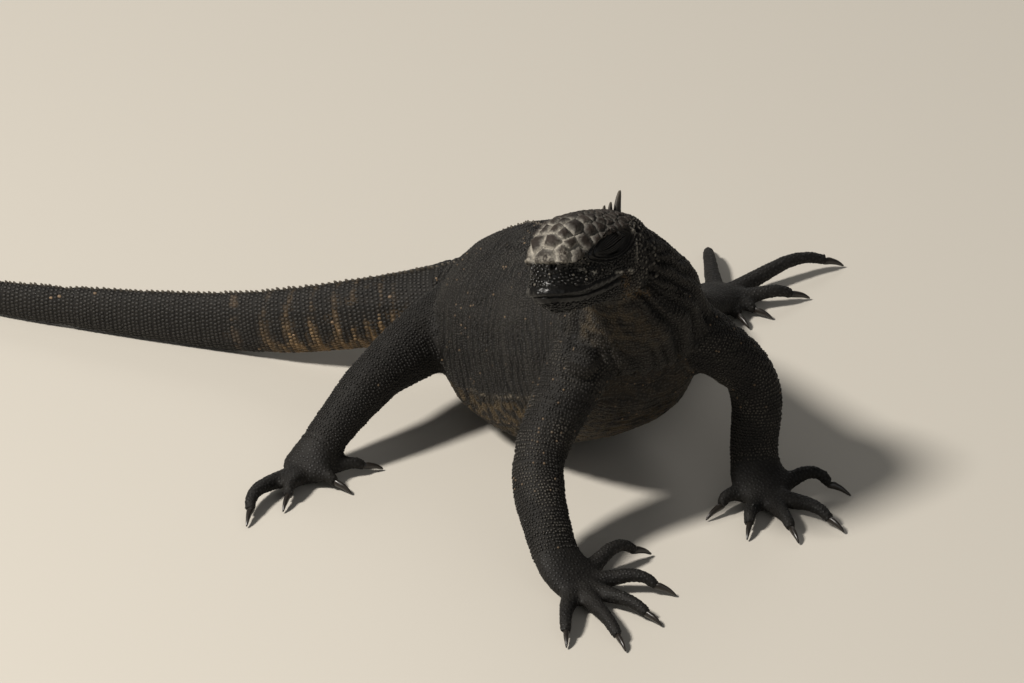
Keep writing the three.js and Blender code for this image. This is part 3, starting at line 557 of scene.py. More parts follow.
# folds ringing the shut eye, and the sunk bed it lies in
ring = eye_ring(local) ** (1 / 1.7)
beside = np.abs(side) > 7
around = smoothstep(0.9, 1.0, ring) * (1 - smoothstep(1.4, 1.8, ring)) * beside * (1 - plated)
rise += 0.45 * around * np.cos((ring - 1.0) * 2 * math.pi / 0.26 + 0.8 * hashed(local, 3, 2))
rise -= 0.7 * (1 - smoothstep(0.8, 1.25, ring)) * beside
rise += 0.35 * (1 - plated) * beside * np.exp(-((from_path(forward, height, ORBIT)) / 0.7) ** 2)
# the ear: a shallow oval with a raised rim
ear = np.hypot((forward + 23.2) / 1.8, (height - 1.4) / 2.3)
rise += (0.5 * np.exp(-((ear - 1.15) / 0.25) ** 2) - 1.3 * (1 - smoothstep(0.5, 1.0, ear))) * beside
places[fine] += normals[fine] * rise[:, None] / 1000

# wrinkles of the body: close upright grooves down the flanks, long folds down the sides of the
# neck behind the jaw, a lumpy sagging throat, and cross wrinkles on the limbs
skin_owner = owners(places)
body = to_body(places)
on_trunk = np.isin(skin_owner, trunk_names[:2])
on_neck = skin_owner == FLESH.index("neck")
FLANK_PITCH = 4.3


def groove(phase, width):
    """A sharp valley once a turn, from 1 in its bottom to 0."""
    return np.exp(-((np.mod(phase, 1) - 0.5) / width) ** 2)


def flank_grooves(body, at):
    drift = 1.5 * hashed(body, 16) + 0.35 * hashed(body, 5, 7)
    weight = np.clip(0.75 + 0.9 * hashed(body * (1, 1, 0.4), 13, 5), 0.1, 1.3)
    return weight * groove((trunk_reach[at] + 2.6 * drift) / FLANK_PITCH, 0.2)


def round_neck(body):
    """Nearest place of the neck's line, and the angle round it: 0 left, 90 nape, -90 throat."""
    at, _ = nearest_place(body, neck_line)
    offset = body - neck_line[at]
    return at, np.arctan2((offset * neck_above[at]).sum(1), (offset * neck_left[at]).sum(1))


def throat_share(body):
    _, angle = round_neck(body)
    around = 1 - smoothstep(0.55, 0.85, np.abs(angle + 2.05) + 0.12 * hashed(body, 8, 3))
    return around * smoothstep(82, 98, body[:, 2] + 4 * hashed(body, 9, 6))


def neck_grooves(body, angle):
    """Long folds down the neck's sides, deepest behind the jaw on either side of the throat."""
    drift = hashed(body * (1, 1, 0.45), 13, 9)
    folds = 0.55 * groove(angle * 27 / 7 + 0.9 * drift, 0.19)
    for deepest in (-1.15, -0.8, -0.45, -0.1, -2.82):
        folds = np.maximum(folds, np.exp(-((angle - deepest + 0.12 * drift) / 0.075) ** 2))
    return folds


folds = np.zeros(len(places))
at, _ = nearest_place(body[on_trunk], trunk_line)
folds[on_trunk] = -1.0 * flank_grooves(body[on_trunk], at) + 0.25
part = body[on_neck]
at, angle = round_neck(part)
throat = throat_share(part)
folds[on_neck] = 0.6 - 2.8 * neck_grooves(part, angle)
folds[on_neck] *= 1 - 0.8 * throat
folds[on_neck] += throat * (0.7 * hashed(part * (1, 1, 1.4), 5, 3) + 0.4 * hashed(part, 2.4, 6))
on_limb = np.isin(skin_owner, [FLESH.index(n) for n in FLESH[9:] if n.endswith(("arm", "thigh", "shank"))])
part = body[on_limb]
folds[on_limb] = 0.3 * hashed(part * (1, 1, 1.8), 7, 3)
upper = np.isin(skin_owner[on_limb], [FLESH.index(n) for n in ("right_upper_arm", "left_upper_arm")])
down = part @ np.array([0.45, 0.3, 0.84])
folds[np.where(on_limb)[0][upper]] -= 0.5 * groove((down + 1.8 * hashed(part, 9, 2)) / 3.6, 0.2)[upper]
shoulder = np.linalg.norm(body - (-34.5, -58, 85), axis=1)
folds += 4.6 * np.exp(-(shoulder / 5.8) ** 4) - 1.6 * np.exp(-((shoulder - 9) / 1.6) ** 2) * (skin_owner > 8)
folds[fine] *= smoothstep(-20, -27, local[:, 0])
places += normals_of(skin_mesh) * folds[:, None] / 1000
places[:, 2] = np.maximum(places[:, 2], 0.0001)
move_places(skin_mesh, places)

skin_bm = bmesh.new()
skin_bm.from_mesh(skin_mesh)
bmesh.ops.triangulate(skin_bm, faces=skin_bm.faces)
skin_mesh = bpy.data.meshes.new("skin")
skin_bm.to_mesh(skin_mesh)
skin_bm.free()
# triangles are spared where the hide lies flat, and kept on plates, folds and digits
HIDE_TRIANGLES = 188000
skin_mesh = with_modifier(skin_mesh, "DECIMATE", ratio=HIDE_TRIANGLES / len(skin_mesh.polygons))
skin_mesh.shade_smooth()
skin = bpy.data.objects.new("skin", skin_mesh)
bpy.context.scene.collection.objects.link(skin)
places = places_of(skin_mesh)
print("skin triangles", len(skin_mesh.polygons))

# Markings shared by hide and scales: warm black above, rusty below a pale dotted line, tan flecks
# in rows down the flanks, curved ochre bands under the root of the tail, brown throat, and a pale
# crust on the seams of the head's plates. Painted shade darkens the folds of flanks and neck.
BLACK_HIDE = np.array([0.0088, 0.0078, 0.0066])
WET_BLACK = np.array([0.0042, 0.0039, 0.0036])
THROAT_BROWN = np.array([0.046, 0.034, 0.020])
BELLY_OCHRE = np.array([0.062, 0.043, 0.021])
FLECK_TAN = np.array([0.220, 0.150, 0.090])
BAND_OCHRE = np.array([0.185, 0.118, 0.055])
PLATE_BROWN = np.array([0.021, 0.0155, 0.012])
PLATE_GREY = np.array([0.104, 0.096, 0.084])
SALT_WHITE = np.array([0.520, 0.480, 0.405])
LATERAL = 0.44
TAIL_RING = 270.5


def mixed(base, other, share):
    return base + (other - base) * np.clip(share, 0, 1)[:, None]


def marked(places, owner):
    """The hide's colour at places that lie on known lengths of the body."""
    body = to_body(places)
    color = np.repeat(BLACK_HIDE[None], len(places), axis=0)
    blotch = hashed(body, 11, 2)
    fine_blotch = hashed(body, 3.2, 4)
    color *= (1 + 0.3 * blotch + 0.3 * fine_blotch)[:, None]
    names = np.array(FLESH)[owner]
    trunk = np.isin(names, ["chest", "abdomen"])
    at, _ = nearest_place(body, trunk_line)
    offset = body - trunk_line[at]
    lower = -(offset * trunk_above[at]).sum(1) / np.maximum(trunk_up[at], 1)
    reach = trunk_reach[at]
    # painted shade darkens the grooves of the flanks; below the pale line the belly is rusty in a dark net
    color = mixed(color, color * 0.3, trunk * flank_grooves(body, at) * 0.8)
    belly = smoothstep(LATERAL, LATERAL + 0.12, lower + 0.03 * blotch) * trunk
    net = smoothstep(-0.25, 0.3, fine_blotch + 0.4 * hashed(body, 1.7, 9))
    color = mixed(color, BELLY_OCHRE, belly * (0.05 + 0.75 * net * smoothstep(20, 60, reach) + 0.2 * net))
    line = np.exp(-((lower - LATERAL - 0.012 * blotch) / 0.014) ** 2) * trunk
    line *= smoothstep(45, 55, reach) * (1 - smoothstep(88, 98, reach))
    pale = np.array([0.13, 0.108, 0.078])
    color = mixed(color, pale, line * smoothstep(-0.1, 0.25, hashed(body, 1.6, 1)) * 0.8)
    # the tail: curved bands, widest and brightest low down, and one pale ring
    tail = np.char.startswith(names, "tail")
    bow = reach - 3.5 * (1 - np.clip(lower, -1, 1) ** 2) + 0.9 * fine_blotch
    width = 0.055 + 0.075 * smoothstep(-0.6, 0.6, lower)
    turns = curve_at(bow + 1.2 * blotch, [(176, 0), (214, 6), (224, 7), (235, 8), (250, 9.3), (270, 11)])
    bands = groove(turns, width * 1.25) * (0.25 + 0.75 * smoothstep(-0.7, 0.4, lower))
    low_spots = groove(bow / 4.8, 0.26) * smoothstep(0.3, 0.6, lower)
    span = smoothstep(184, 200, reach) * (1 - smoothstep(246, 264, reach))
    bands = np.maximum(bands, low_spots) * span * smoothstep(-0.5, 0.1, fine_blotch + 0.25 + 0.3 * lower)
    color = mixed(color, BAND_OCHRE, bands * tail * 0.9)
    ring = np.exp(-((reach - TAIL_RING - 0.8 * blotch) / 1.1) ** 2) * smoothstep(-0.4, 0.2, fine_blotch)
    color = mixed(color, FLECK_TAN * 0.6, ring * tail * 0.6)
    # brown granular throat between the black sides of the neck
    on_neck = names == "neck"
    throat = np.zeros(len(body))
    throat[on_neck] = throat_share(body[on_neck])
    # painted shade fills the long folds down the neck; the ridges between them are paler, partly the neck's own
    # blotchy grey-brown and partly painted light
    sunk = np.zeros(len(body))
    sunk[on_neck] = neck_grooves(body[on_neck], round_neck(body[on_neck])[1])
    ridge_tone_and_light = np.array([0.034, 0.029, 0.022])
    color = mixed(color, ridge_tone_and_light, on_neck * (0.22 + 0.45 * hashed(body, 2.6, 7)) * (1 - sunk))
    color = mixed(color, color * 0.15, sunk)
    mottle = smoothstep(-0.3, 0.4, fine_blotch + 0.5 * blotch)
    color = mixed(color, THROAT_BROWN, throat * (0.1 + 0.7 * mottle))
    return color


def head_marks(places, color):
    """Brown plates with a pale broken crust on the head, wet black lips and snout below them."""
    p = to_head(places)
    inside = on_head(places)
    chosen = np.where(inside)[0]
    gloss = np.zeros(len(places))
    if len(chosen) == 0:
        return color, gloss
    q = p[chosen]
    forward, side, height = q.T
    edge, size, cell = plate_cells(q)
    plated = plated_share(q)
    grime = hashed(q, 4.5, 8)
    fine_grime = hashed(q, 1.2, 3)
    finest = hashed(q, 0.5, 5)
    front = smoothstep(-6, 22, forward)
    muzzle = smoothstep(-12, -4, forward) * (1 - plated)
    tone = mixed(color[chosen], WET_BLACK, 0.85 * muzzle)
    gloss[chosen] = 0.8 * muzzle
    # plates: brown middles, greyer outward, crusted along the seams and over the front ones
    inner = smoothstep(0.1, 0.95, edge / (0.75 * size) + 0.4 * fine_grime + 0.2 * finest)
    cell_tone = 0.7 + 0.7 * np.mod(cell * 0.618, 1)
    plate = mixed(PLATE_GREY * (0.4 + 0.7 * front)[:, None], PLATE_BROWN * cell_tone[:, None], inner)
    tone = mixed(tone, plate, plated)
    wide = 0.45 + (0.4 + 0.15 * size) * front
    crust = 1 - smoothstep(0, 1, (edge + 0.45 * fine_grime + 0.3 * finest) / wide)
    crust *= smoothstep(-0.5, 0.6, grime + 0.8 * front - 0.1) * (0.55 + 0.45 * smoothstep(-0.3, 0.3, finest + fine_grime))
    lobes = smoothstep(13, 25, forward) * smoothstep(2, -3, height - 0.3 * np.abs(side))
    crust = np.maximum(crust, 0.6 * lobes * smoothstep(-0.5, 0.5, fine_grime + finest))
    tone = mixed(tone, SALT_WHITE, plated * crust * (0.18 + 0.52 * front))
    seam = np.exp(-(edge / 0.16) ** 2) * smoothstep(0.1, -0.4, grime - 0.4 * front)
    tone = mixed(tone, tone * 0.3, plated * seam)
    # pale border behind the eye, flakes below it, rim of the ear, rusty corner of the mouth
    beside = (np.abs(side) > 7) * (1 - plated)
    border = np.exp(-(from_path(forward, height, ORBIT) / 0.65) ** 2) * smoothstep(-0.3, 0.3, fine_grime + finest)
    flakes = np.zeros(len(q))
    for path in PALE_MARKS:
        near = np.exp(-(from_path(forward, height + 0.7 * fine_grime, path) / 0.6) ** 2)
        flakes = np.maximum(flakes, near * smoothstep(-0.2, 0.2, finest + 0.2))
    ear_ring = np.hypot((forward + 23.2) / 1.8, (height - 1.4) / 2.3)
    ear = np.exp(-((ear_ring - 1.2) / 0.25) ** 2) * smoothstep(-0.2, 0.2, fine_grime)
    tone = mixed(tone, WET_BLACK, 1 - smoothstep(0.7, 1.0, ear_ring))
    tone = mixed(tone, SALT_WHITE * 0.7, beside * np.maximum(0.8 * border, np.maximum(flakes, 0.5 * ear)))
    corner = np.exp(-(from_path(forward, height, [(-9, -17.5), (-12, -21), (-19, -26), (-27, -28)]) / 2.2) ** 2)
    tone = mixed(tone, BAND_OCHRE * 0.6, corner * beside * smoothstep(-0.1, 0.3, fine_grime + 0.9 * finest) * 0.7)
    result = color.copy()
    result[chosen] = tone
    return result, gloss


def paint(mesh, colors, gloss=0.0):
    """Colour and wetness of each vertex."""
    layer = mesh.color_attributes.new("tone", "FLOAT_COLOR", "POINT")
    rgba = np.empty((len(colors), 4), np.float32)
    rgba[:, :3] = np.clip(colors, 0, 1)
    rgba[:, 3] = gloss
    layer.data.foreach_set("color", rgba.ravel())


skin_color, skin_gloss = head_marks(places, marked(places, owners(places)))
paint(skin_mesh, skin_color, skin_gloss)


def hide_material(name, roughness, specular, grain, depth):
    """Colour from the painted tone, broken up finely, over a fine-grained bump."""
    material, tree, shader = add_material(name, roughness, specular)
    nodes, links = tree.nodes, tree.links
    tone = nodes.new("ShaderNodeAttribute")
    tone.attribute_name = "tone"
    place = nodes.new("ShaderNodeTexCoord")
    speckle = nodes.new("ShaderNodeTexNoise")
    speckle.inputs["Scale"].default_value = grain
    speckle.inputs["Detail"].default_value = 3
    links.new(place.outputs["Object"], speckle.inputs["Vector"])
    spread = nodes.new("ShaderNodeMapRange")
    spread.inputs["From Min"].default_value = 0.3
    spread.inputs["From Max"].default_value = 0.7
    spread.inputs["To Min"].default_value = 0.72
    spread.inputs["To Max"].default_value = 1.3
    links.new(speckle.outputs["Fac"], spread.inputs["Value"])
    shade = nodes.new("ShaderNodeVectorMath")
    shade.operation = "SCALE"
    links.new(tone.outputs["Color"], shade.inputs[0])
    links.new(spread.outputs["Result"], shade.inputs["Scale"])
    links.new(shade.outputs["Vector"], shader.inputs["Base Color"])
    rough = nodes.new("ShaderNodeMapRange")
    rough.inputs["To Min"].default_value = roughness
    rough.inputs["To Max"].default_value = 0.16
    links.new(tone.outputs["Alpha"], rough.inputs["Value"])
    links.new(rough.outputs["Result"], shader.inputs["Roughness"])
    bump = nodes.new("ShaderNodeBump")
    bump.inputs["Strength"].default_value = 0.5
    bump.inputs["Distance"].default_value = depth
    links.new(speckle.outputs["Fac"], bump.inputs["Height"])
    links.new(bump.outputs["Normal"], shader.inputs["Normal"])
    return material


skin_mesh.materials.append(hide_material("hide", 0.72, 0.25, 1800, 0.00025))
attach(skin, "root")
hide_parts(*FLESH)

# Scales: horny beads and keeled plates over the hide, in rings round trunk, tail and legs and
# scattered where the body folds. Each is a low dome rooted in the hide.
SCALE_SEED = 11
rng = np.random.default_rng(SCALE_SEED)
hide_tree = BVHTree.FromPolygons(
    [tuple(p) for p in places], [tuple(f.vertices) for f in skin_mesh.polygons])


def scale_shape(sides, keel, lift):
    """One scale a unit across, lying along y: a dome with a keel, its rear edge lifted."""
    bm = bmesh.new()
    bmesh.ops.create_cone(bm, cap_ends=True, segments=sides, radius1=0.5, radius2=0.36, depth=0.66)
    bmesh.ops.translate(bm, verts=bm.verts, vec=(0, 0, 0.33))
    top_face = max(bm.faces, key=lambda face: face.calc_center_median().z)
    bmesh.ops.poke(bm, faces=[top_face])
    for vertex in bm.verts:
        if vertex.co.xy.length < 0.01:
            vertex.co.z = 1.0
    for vertex in bm.verts:
        if vertex.co.z > 0.01:
            vertex.co.z += keel * max(0, 1 - abs(vertex.co.x) * 6) * (vertex.co.z > 0.5)
            vertex.co.z += lift * vertex.co.y
            vertex.co.y += 0.12 * lift
    bmesh.ops.triangulate(bm, faces=bm.faces)
    bmesh.ops.recalc_face_normals(bm, faces=bm.faces)
    bm.verts.ensure_lookup_table()
    shape = np.array([v.co for v in bm.verts])
    corners = np.array([[v.index for v in f.verts] for f in bm.faces])
    middle = shape.mean(0)
    normal = np.cross(shape[corners[:, 1]] - shape[corners[:, 0]], shape[corners[:, 2]] - shape[corners[:, 0]])
    if (normal * (shape[corners].mean(1) - middle)).sum() < 0:
        corners = corners[:, ::-1]
    bm.free()
    return shape, corners


class Rows:
    """Places for scales: where, which way the hide faces, which way they lie, and their size."""

    def __init__(self):
        self.place, self.normal, self.lie, self.size, self.chart = [], [], [], [], []

    def add(self, place, normal, lie, size, chart):
        self.place.append(place)
        self.normal.append(normal)
        self.lie.append(lie)
        self.size.append(size)
        self.chart.append(chart)


def ring_rows(line, ups, pitch, around, allowed, size, cell, jitter=0.12):
    """Scales in rings round a line of the body, alternate rings half a step on."""
    along, left, above = line_frames(line, ups)
    reach = np.concatenate([[0], np.cumsum(np.linalg.norm(np.diff(line, axis=0), axis=1))])
    found = Rows()
    origin = np.array(TRUNK_ORIGIN)
    for ring, distance in enumerate(np.arange(0.5 * pitch, reach[-1], pitch)):
        k = int(np.searchsorted(reach, distance))
        start = Vector(line[k] / 1000 + origin)
        hits = []
        for turn in np.linspace(0, 2 * math.pi, 49)[:-1]:
            way = Vector(math.cos(turn) * left[k] + math.sin(turn) * above[k])
            hit = hide_tree.ray_cast(start, way, 0.075)
            hits.append(np.array(hit[0]) if hit[0] else np.array(start + way * 0.075))
        hits = np.array(hits + [hits[0]])
        lengths = np.concatenate([[0], np.cumsum(np.linalg.norm(np.diff(hits, axis=0), axis=1))])
        count = max(6, int(round(lengths[-1] * 1000 / around)))
        stops = (np.arange(count) + 0.5 * (ring % 2)) / count * lengths[-1]
        stops += rng.uniform(-jitter, jitter, count) * around / 1000
        spots = np.stack([np.interp(stops % lengths[-1], lengths, hits[:, i]) for i in range(3)], 1)
        spots += along[k] * rng.uniform(-jitter, jitter, count)[:, None] * pitch / 1000
        snapped = [hide_tree.find_nearest(Vector(p)) for p in spots]
        snapped = [(s, n) for s, n in zip(snapped, stops) if s[0] is not None]
        on = owners([s[0] for s, _ in snapped])
        for (spot, stop), owner in zip(snapped, on):
            if owner not in allowed:
                continue
            chart = (cell[0] + cell[2] * distance / reach[-1], cell[1] + cell[3] * stop / lengths[-1] * 0.96)
            found.add(spot[0], spot[1], along[k], size, chart)
    return found


def lay_scales(name, rows, shape, height, colors, material, tops=0.0, gloss=0.0, roughen=0.12):
    """One mesh of all the scales in rows, each a copy of shape turned to lie along the body."""
    template, corners = shape
    count = len(rows.place)
    place = np.array(rows.place)
    normal = np.array(rows.normal)
    lie = np.array(rows.lie, float)
    lie -= (lie * normal).sum(1, keepdims=True) * normal
    lie /= np.maximum(np.linalg.norm(lie, axis=1, keepdims=True), 1e-9)
    across = np.cross(lie, normal)
    size = np.array(rows.size, float) * (1 + rng.uniform(-roughen, roughen, (count, 1)))
    tall = height * (1 + rng.uniform(-2 * roughen, 2 * roughen, count))
    local = template[None, :, :] * np.stack([size[:, 0], size[:, 1], tall], 1)[:, None, :] / 1000
    points = (place[:, None, :] - normal[:, None, :] * 0.00008
              + local[:, :, 0:1] * across[:, None, :]
              + local[:, :, 1:2] * lie[:, None, :]
              + local[:, :, 2:3] * normal[:, None, :])
    points[:, :, 2] = np.maximum(points[:, :, 2], 0.00005)
    faces = (corners[None] + (np.arange(count) * len(template))[:, None, None]).reshape(-1, 3)
    mesh = bpy.data.meshes.new(name)
    mesh.vertices.add(count * len(template))
    mesh.loops.add(len(faces) * 3)
    mesh.polygons.add(len(faces))
    mesh.vertices.foreach_set("co", points.ravel())
    mesh.loops.foreach_set("vertex_index", faces.ravel().astype(np.int32))
    mesh.polygons.foreach_set("loop_start", np.arange(0, len(faces) * 3, 3, dtype=np.int32))
    mesh.update(calc_edges=True)
    mesh.shade_smooth()
    chart = mesh.uv_layers.new(name="OFBake")
    flat = np.array(rows.chart)[:, None, :] + template[None, :, :2] * 0.003
    chart.data.foreach_set("uv", flat.reshape(-1, 2)[faces.ravel()].ravel().astype(np.float32))
    # painted shade darkens each scale towards its root and painted light brightens its dome; the apex takes the
    # pale top colour, partly dust and wear and partly painted highlight
    up = np.clip(template[:, 2], 0, 1)
    tone = colors[:, None, :] * (0.4 + 0.8 * up)[None, :, None]
    tone += (DUST_AND_HIGHLIGHT_TOP - tone) * (np.broadcast_to(tops, count)[:, None] * up[None, :] ** 3)[:, :, None]
    paint(mesh, tone.reshape(-1, 3), np.repeat(np.broadcast_to(gloss, count), len(template)))
    mesh.materials.append(material)
    piece = bpy.data.objects.new(name, mesh)
    bpy.context.scene.collection.objects.link(piece)
    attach(piece, "root")
    print(name, count, "scales", len(faces), "triangles")
    return piece


def index_of(*names):
    return [FLESH.index(n) for n in names]


# pale colour of the scales' tops: partly dust and wear, partly painted highlight
DUST_AND_HIGHLIGHT_TOP = np.array([0.085, 0.076, 0.062])
scale_horn = hide_material("scale_horn", 0.56, 0.32, 2600, 0.0001)
keeled = scale_shape(6, 0.2, 0.3)
bead = scale_shape(6, 0.0, 0.1)


def scale_colors(rows, flecks=0.0):
    """The hide's marking at each scale's root, with a few scales tan."""
    place = np.array(rows.place)
    color, _ = head_marks(place, marked(place, owners(place)))
    color *= rng.uniform(0.85, 1.2, (len(place), 1))
    chosen = rng.random(len(place)) < flecks
    return mixed(color, FLECK_TAN * rng.uniform(0.5, 1.0, (len(place), 1)), chosen * 0.85)


# Trunk, tail, neck and legs carry their scales in rings.
def joined_rows(*parts):
    whole = Rows()
    for part in parts:
        for field in ("place", "normal", "lie", "size", "chart"):
            getattr(whole, field).extend(getattr(part, field))
    return whole


def split_rows(rows, most=8800):
    """Rows in bunches of at most so many scales."""
    for start in range(0, len(rows.place), most):
        part = Rows()
        for field in ("place", "normal", "lie", "size", "chart"):
            setattr(part, field, getattr(rows, field)[start:start + most])
        yield slice(start, start + most), part


trunk_part = trunk_line[(trunk_share > 0.35) & (trunk_share < 8.4)]
trunk_rows = ring_rows(trunk_part, np.array([0, 0, 1.0]), 1.22, 1.2, index_of("chest", "abdomen"),
                       (1.22, 1.28), (0.02, 0.02, 0.96, 0.96), 0.3)
body = to_body(np.array(trunk_rows.place))
at, _ = nearest_place(body, trunk_line)
valley = flank_grooves(body, at)
patch = smoothstep(-0.1, 0.5, hashed(body, 18, 6))
tan = rng.random(len(body)) < 0.004 + 0.12 * patch * (1 - np.clip(valley, 0, 1)) * (hashed(body, 2.2, 3) > 0.1)
trunk_colors = scale_colors(trunk_rows)
trunk_colors = mixed(trunk_colors, FLECK_TAN * rng.uniform(0.25, 0.8, (len(body), 1)), tan * 0.9)
trunk_tops = np.clip(0.24 - 0.3 * valley + 0.2 * hashed(body, 9, 4), 0, 1)
for number, (part, rows) in enumerate(split_rows(trunk_rows, 8800)):
    lay_scales(f"scales_trunk_{number + 1}", rows, bead, 0.36, trunk_colors[part], scale_horn, trunk_tops[part])

tail_part = trunk_line[trunk_share > 8.2]
tail_rows = ring_rows(tail_part, np.array([0, 0, 1.0]), 2.1, 1.8,
                      index_of("tail_base", "tail_middle", "tail_rear", "tail_tip"),
                      (1.7, 2.2), (0.02, 0.02, 0.96, 0.96), 0.06)
lay_scales("scales_tail", tail_rows, keeled, 0.4, scale_colors(tail_rows, 0.004), scale_horn, 0.12)

neck_rows = ring_rows(neck_line, neck_ups, 1.35, 1.35, index_of("neck"),
                      (1.3, 1.35), (0.02, 0.02, 0.96, 0.96), 0.3)
lay_scales("scales_neck", neck_rows, bead, 0.5, scale_colors(neck_rows, 0.004), scale_horn, 0.2)

LEGS = {
    "right": ([(-26, -44, 80), (-60, -64, 43), (-67.4, -98, 13), (-62.3, -108.3, 7)], "upper_arm", "forearm"),
    "left": ([(25, -42, 80), (55, -49, 51), (50.2, -57.1, 13), (49.2, -70.8, 7)], "upper_arm", "forearm"),
    "right_": ([(-22, 78, 44), (-79, 55, 36), (-118, 41, 12), (-124, 37, 7)], "thigh", "shank"),
    "left_": ([(6, 80, 44), (58, 68, 38), (95, 86, 11), (114, 103, 7)], "thigh", "shank"),
}
leg_parts = []
leg_lines = []
for k, (side, (joints, upper, lower)) in enumerate(LEGS.items()):
    root, bend, end, palm = np.array(joints, float)
    steps = [root + (bend - root) * t / 3 for t in range(3)] + [bend + (end - bend) * t / 3 for t in range(3)]
    steps += [end, (end + palm) / 2, palm]
    for turn in (3, 6):
        steps[turn] = steps[turn] / 2 + (steps[turn - 1] + steps[turn + 1]) / 4
    line, share = smooth_line(steps, 260)
    leg_lines.append(line)
    nodes = [f"{side.strip('_')}_{upper}", f"{side.strip('_')}_{lower}"]
    cell = (0.02 + 0.48 * (k // 2), 0.02 + 0.48 * (k % 2), 0.46, 0.46)
    leg_parts.append(ring_rows(line[share < 6.2], np.array([0.2, 1, 0.3]), 1.5, 1.5, index_of(*nodes),
                               (1.3, 1.34), cell, 0.22))
leg_rows = joined_rows(*leg_parts)
leg_places = to_body(np.array(leg_rows.place))
leg_tops = 0.1 + 0.8 * smoothstep(-0.2, 0.5, hashed(leg_places, 12, 5)) * (leg_places[:, 1] < 0)
leg_tops *= rng.uniform(0.6, 1.3, len(leg_places))
inner_arm = (leg_places[:, 1] < 0) & (leg_places[:, 2] > 38) & (hashed(leg_places, 10, 1) > 0.05)
leg_colors = scale_colors(leg_rows, 0.002) * 0.75
leg_tan = inner_arm & (rng.random(len(leg_places)) < 0.05)
leg_colors = mixed(leg_colors, FLECK_TAN * 0.6, leg_tan * 0.9)
for number, (part, rows) in enumerate(split_rows(leg_rows, 8800)):
    lay_scales(f"scales_legs_{number + 1}", rows, bead, 0.6, leg_colors[part], scale_horn, leg_tops[part])

# Where the rings leave the hide bare, in the joints, on hands and feet and over the face, the
# scales are scattered as close as their size lets them. They lie away from the head, down to
# the claws.
HANDS = {
    "right_hand": (-62.3, -108.3, 7), "left_hand": (49.2, -70.8, 7),
    "right_foot": (-124, 37, 7), "left_foot": (114, 103, 7),
}
lie_lines = [trunk_line, neck_line] + leg_lines
for hand, palm in HANDS.items():
    for digit in range(1, 6):
        low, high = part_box(f"claw_{hand}_{digit}")
        tip = to_body(np.array((low + high) / 2))
        lie_lines.append(np.linspace(palm, tip, 40))
lie_place = np.vstack(lie_lines)
lie_way = np.vstack([np.gradient(line, axis=0) for line in lie_lines])
lie_way /= np.linalg.norm(lie_way, axis=1, keepdims=True)


def scattered(chosen, spacing, taken, cell, tries=5):
    """Scales on the chosen faces, none nearer to another than spacing says at its place."""
    count = len(skin_mesh.polygons)
    corners = np.empty(count * 3, np.int32)
    skin_mesh.polygons.foreach_get("vertices", corners)
    corners = corners.reshape(-1, 3)[chosen]
    a, b, c = (places[corners[:, k]] for k in range(3))
    cross = np.cross(b - a, c - a)
    area = np.linalg.norm(cross, axis=1) / 2
    normal = cross / np.maximum(2 * area[:, None], 1e-15)
    need = spacing((a + b + c) / 3)
    wanted = np.where(need > 0, area * 1e6 / np.maximum(need, 0.3) ** 2 * tries, 0)
    pick = rng.choice(len(area), int(wanted.sum()), p=wanted / wanted.sum())
    u, v = rng.random((2, len(pick)))
    flip = u + v > 1
    u[flip], v[flip] = 1 - u[flip], 1 - v[flip]
    spots = a[pick] + (b - a)[pick] * u[:, None] + (c - a)[pick] * v[:, None]
    gaps = spacing(spots)
    widest = gaps.max()
    grid = {}
    for spot in np.asarray(taken).reshape(-1, 3) * 1000:
        grid.setdefault(tuple((spot // widest).astype(int)), []).append((*spot, 0.0))
    kept = []
    for k, (spot, gap) in enumerate(zip((spots * 1000).tolist(), gaps.tolist())):
        if gap <= 0:
            continue
        x, y, z = spot
        i, j, m = int(x // widest), int(y // widest), int(z // widest)
        clear = True
        for key in ((i + di, j + dj, m + dm) for di in (-1, 0, 1) for dj in (-1, 0, 1) for dm in (-1, 0, 1)):
            for ox, oy, oz, other in grid.get(key, ()):
                reach = max(gap, other)
                if (x - ox) ** 2 + (y - oy) ** 2 + (z - oz) ** 2 < reach * reach:
                    clear = False
                    break
            if not clear:
                break
        if clear:
            grid.setdefault((i, j, m), []).append((x, y, z, gap))
            kept.append(k)
    kept = np.array(kept)
    found = Rows()
    spot = spots[kept]
    body = to_body(spot)
    at, _ = nearest_place(body, lie_place)
    low, high = body.min(0), body.max(0)
    flat = (body - low) / (high - low)
    found.place = list(spot)
    found.normal = list(normal[pick[kept]])
    found.lie = list(lie_way[at])
    found.size = [(g * 1.12, g * 1.16) for g in gaps[kept]]
    found.chart = [(cell[0] + cell[2] * (0.62 * f[0] + 0.38 * f[2]), cell[1] + cell[3] * f[1]) for f in flat]
    return found


face_middle = np.empty(len(skin_mesh.polygons) * 3)
skin_mesh.polygons.foreach_get("center", face_middle)
face_middle = face_middle.reshape(-1, 3)
face_owner = owners(face_middle)
ringed = np.array(trunk_rows.place + tail_rows.place + neck_rows.place + leg_rows.place)

paws = np.isin(face_owner, index_of(*HANDS))
paw_rows = scattered(paws, lambda p: np.full(len(p), 1.35), ringed, (0.02, 0.02, 0.96, 0.96))
lay_scales("scales_hands_feet", paw_rows, bead, 0.24, scale_colors(paw_rows) * 0.5, scale_horn, 0.04)

others = ~paws & ~np.isin(face_owner, index_of("head", "lower_jaw"))
fill_rows = scattered(others, lambda p: np.full(len(p), 1.35), ringed, (0.02, 0.02, 0.96, 0.96), 2.5)
for number, (part, rows) in enumerate(split_rows(fill_rows)):
    lay_scales(f"scales_folds_{number + 1}", rows, bead, 0.36, scale_colors(rows), scale_horn, 0.12)


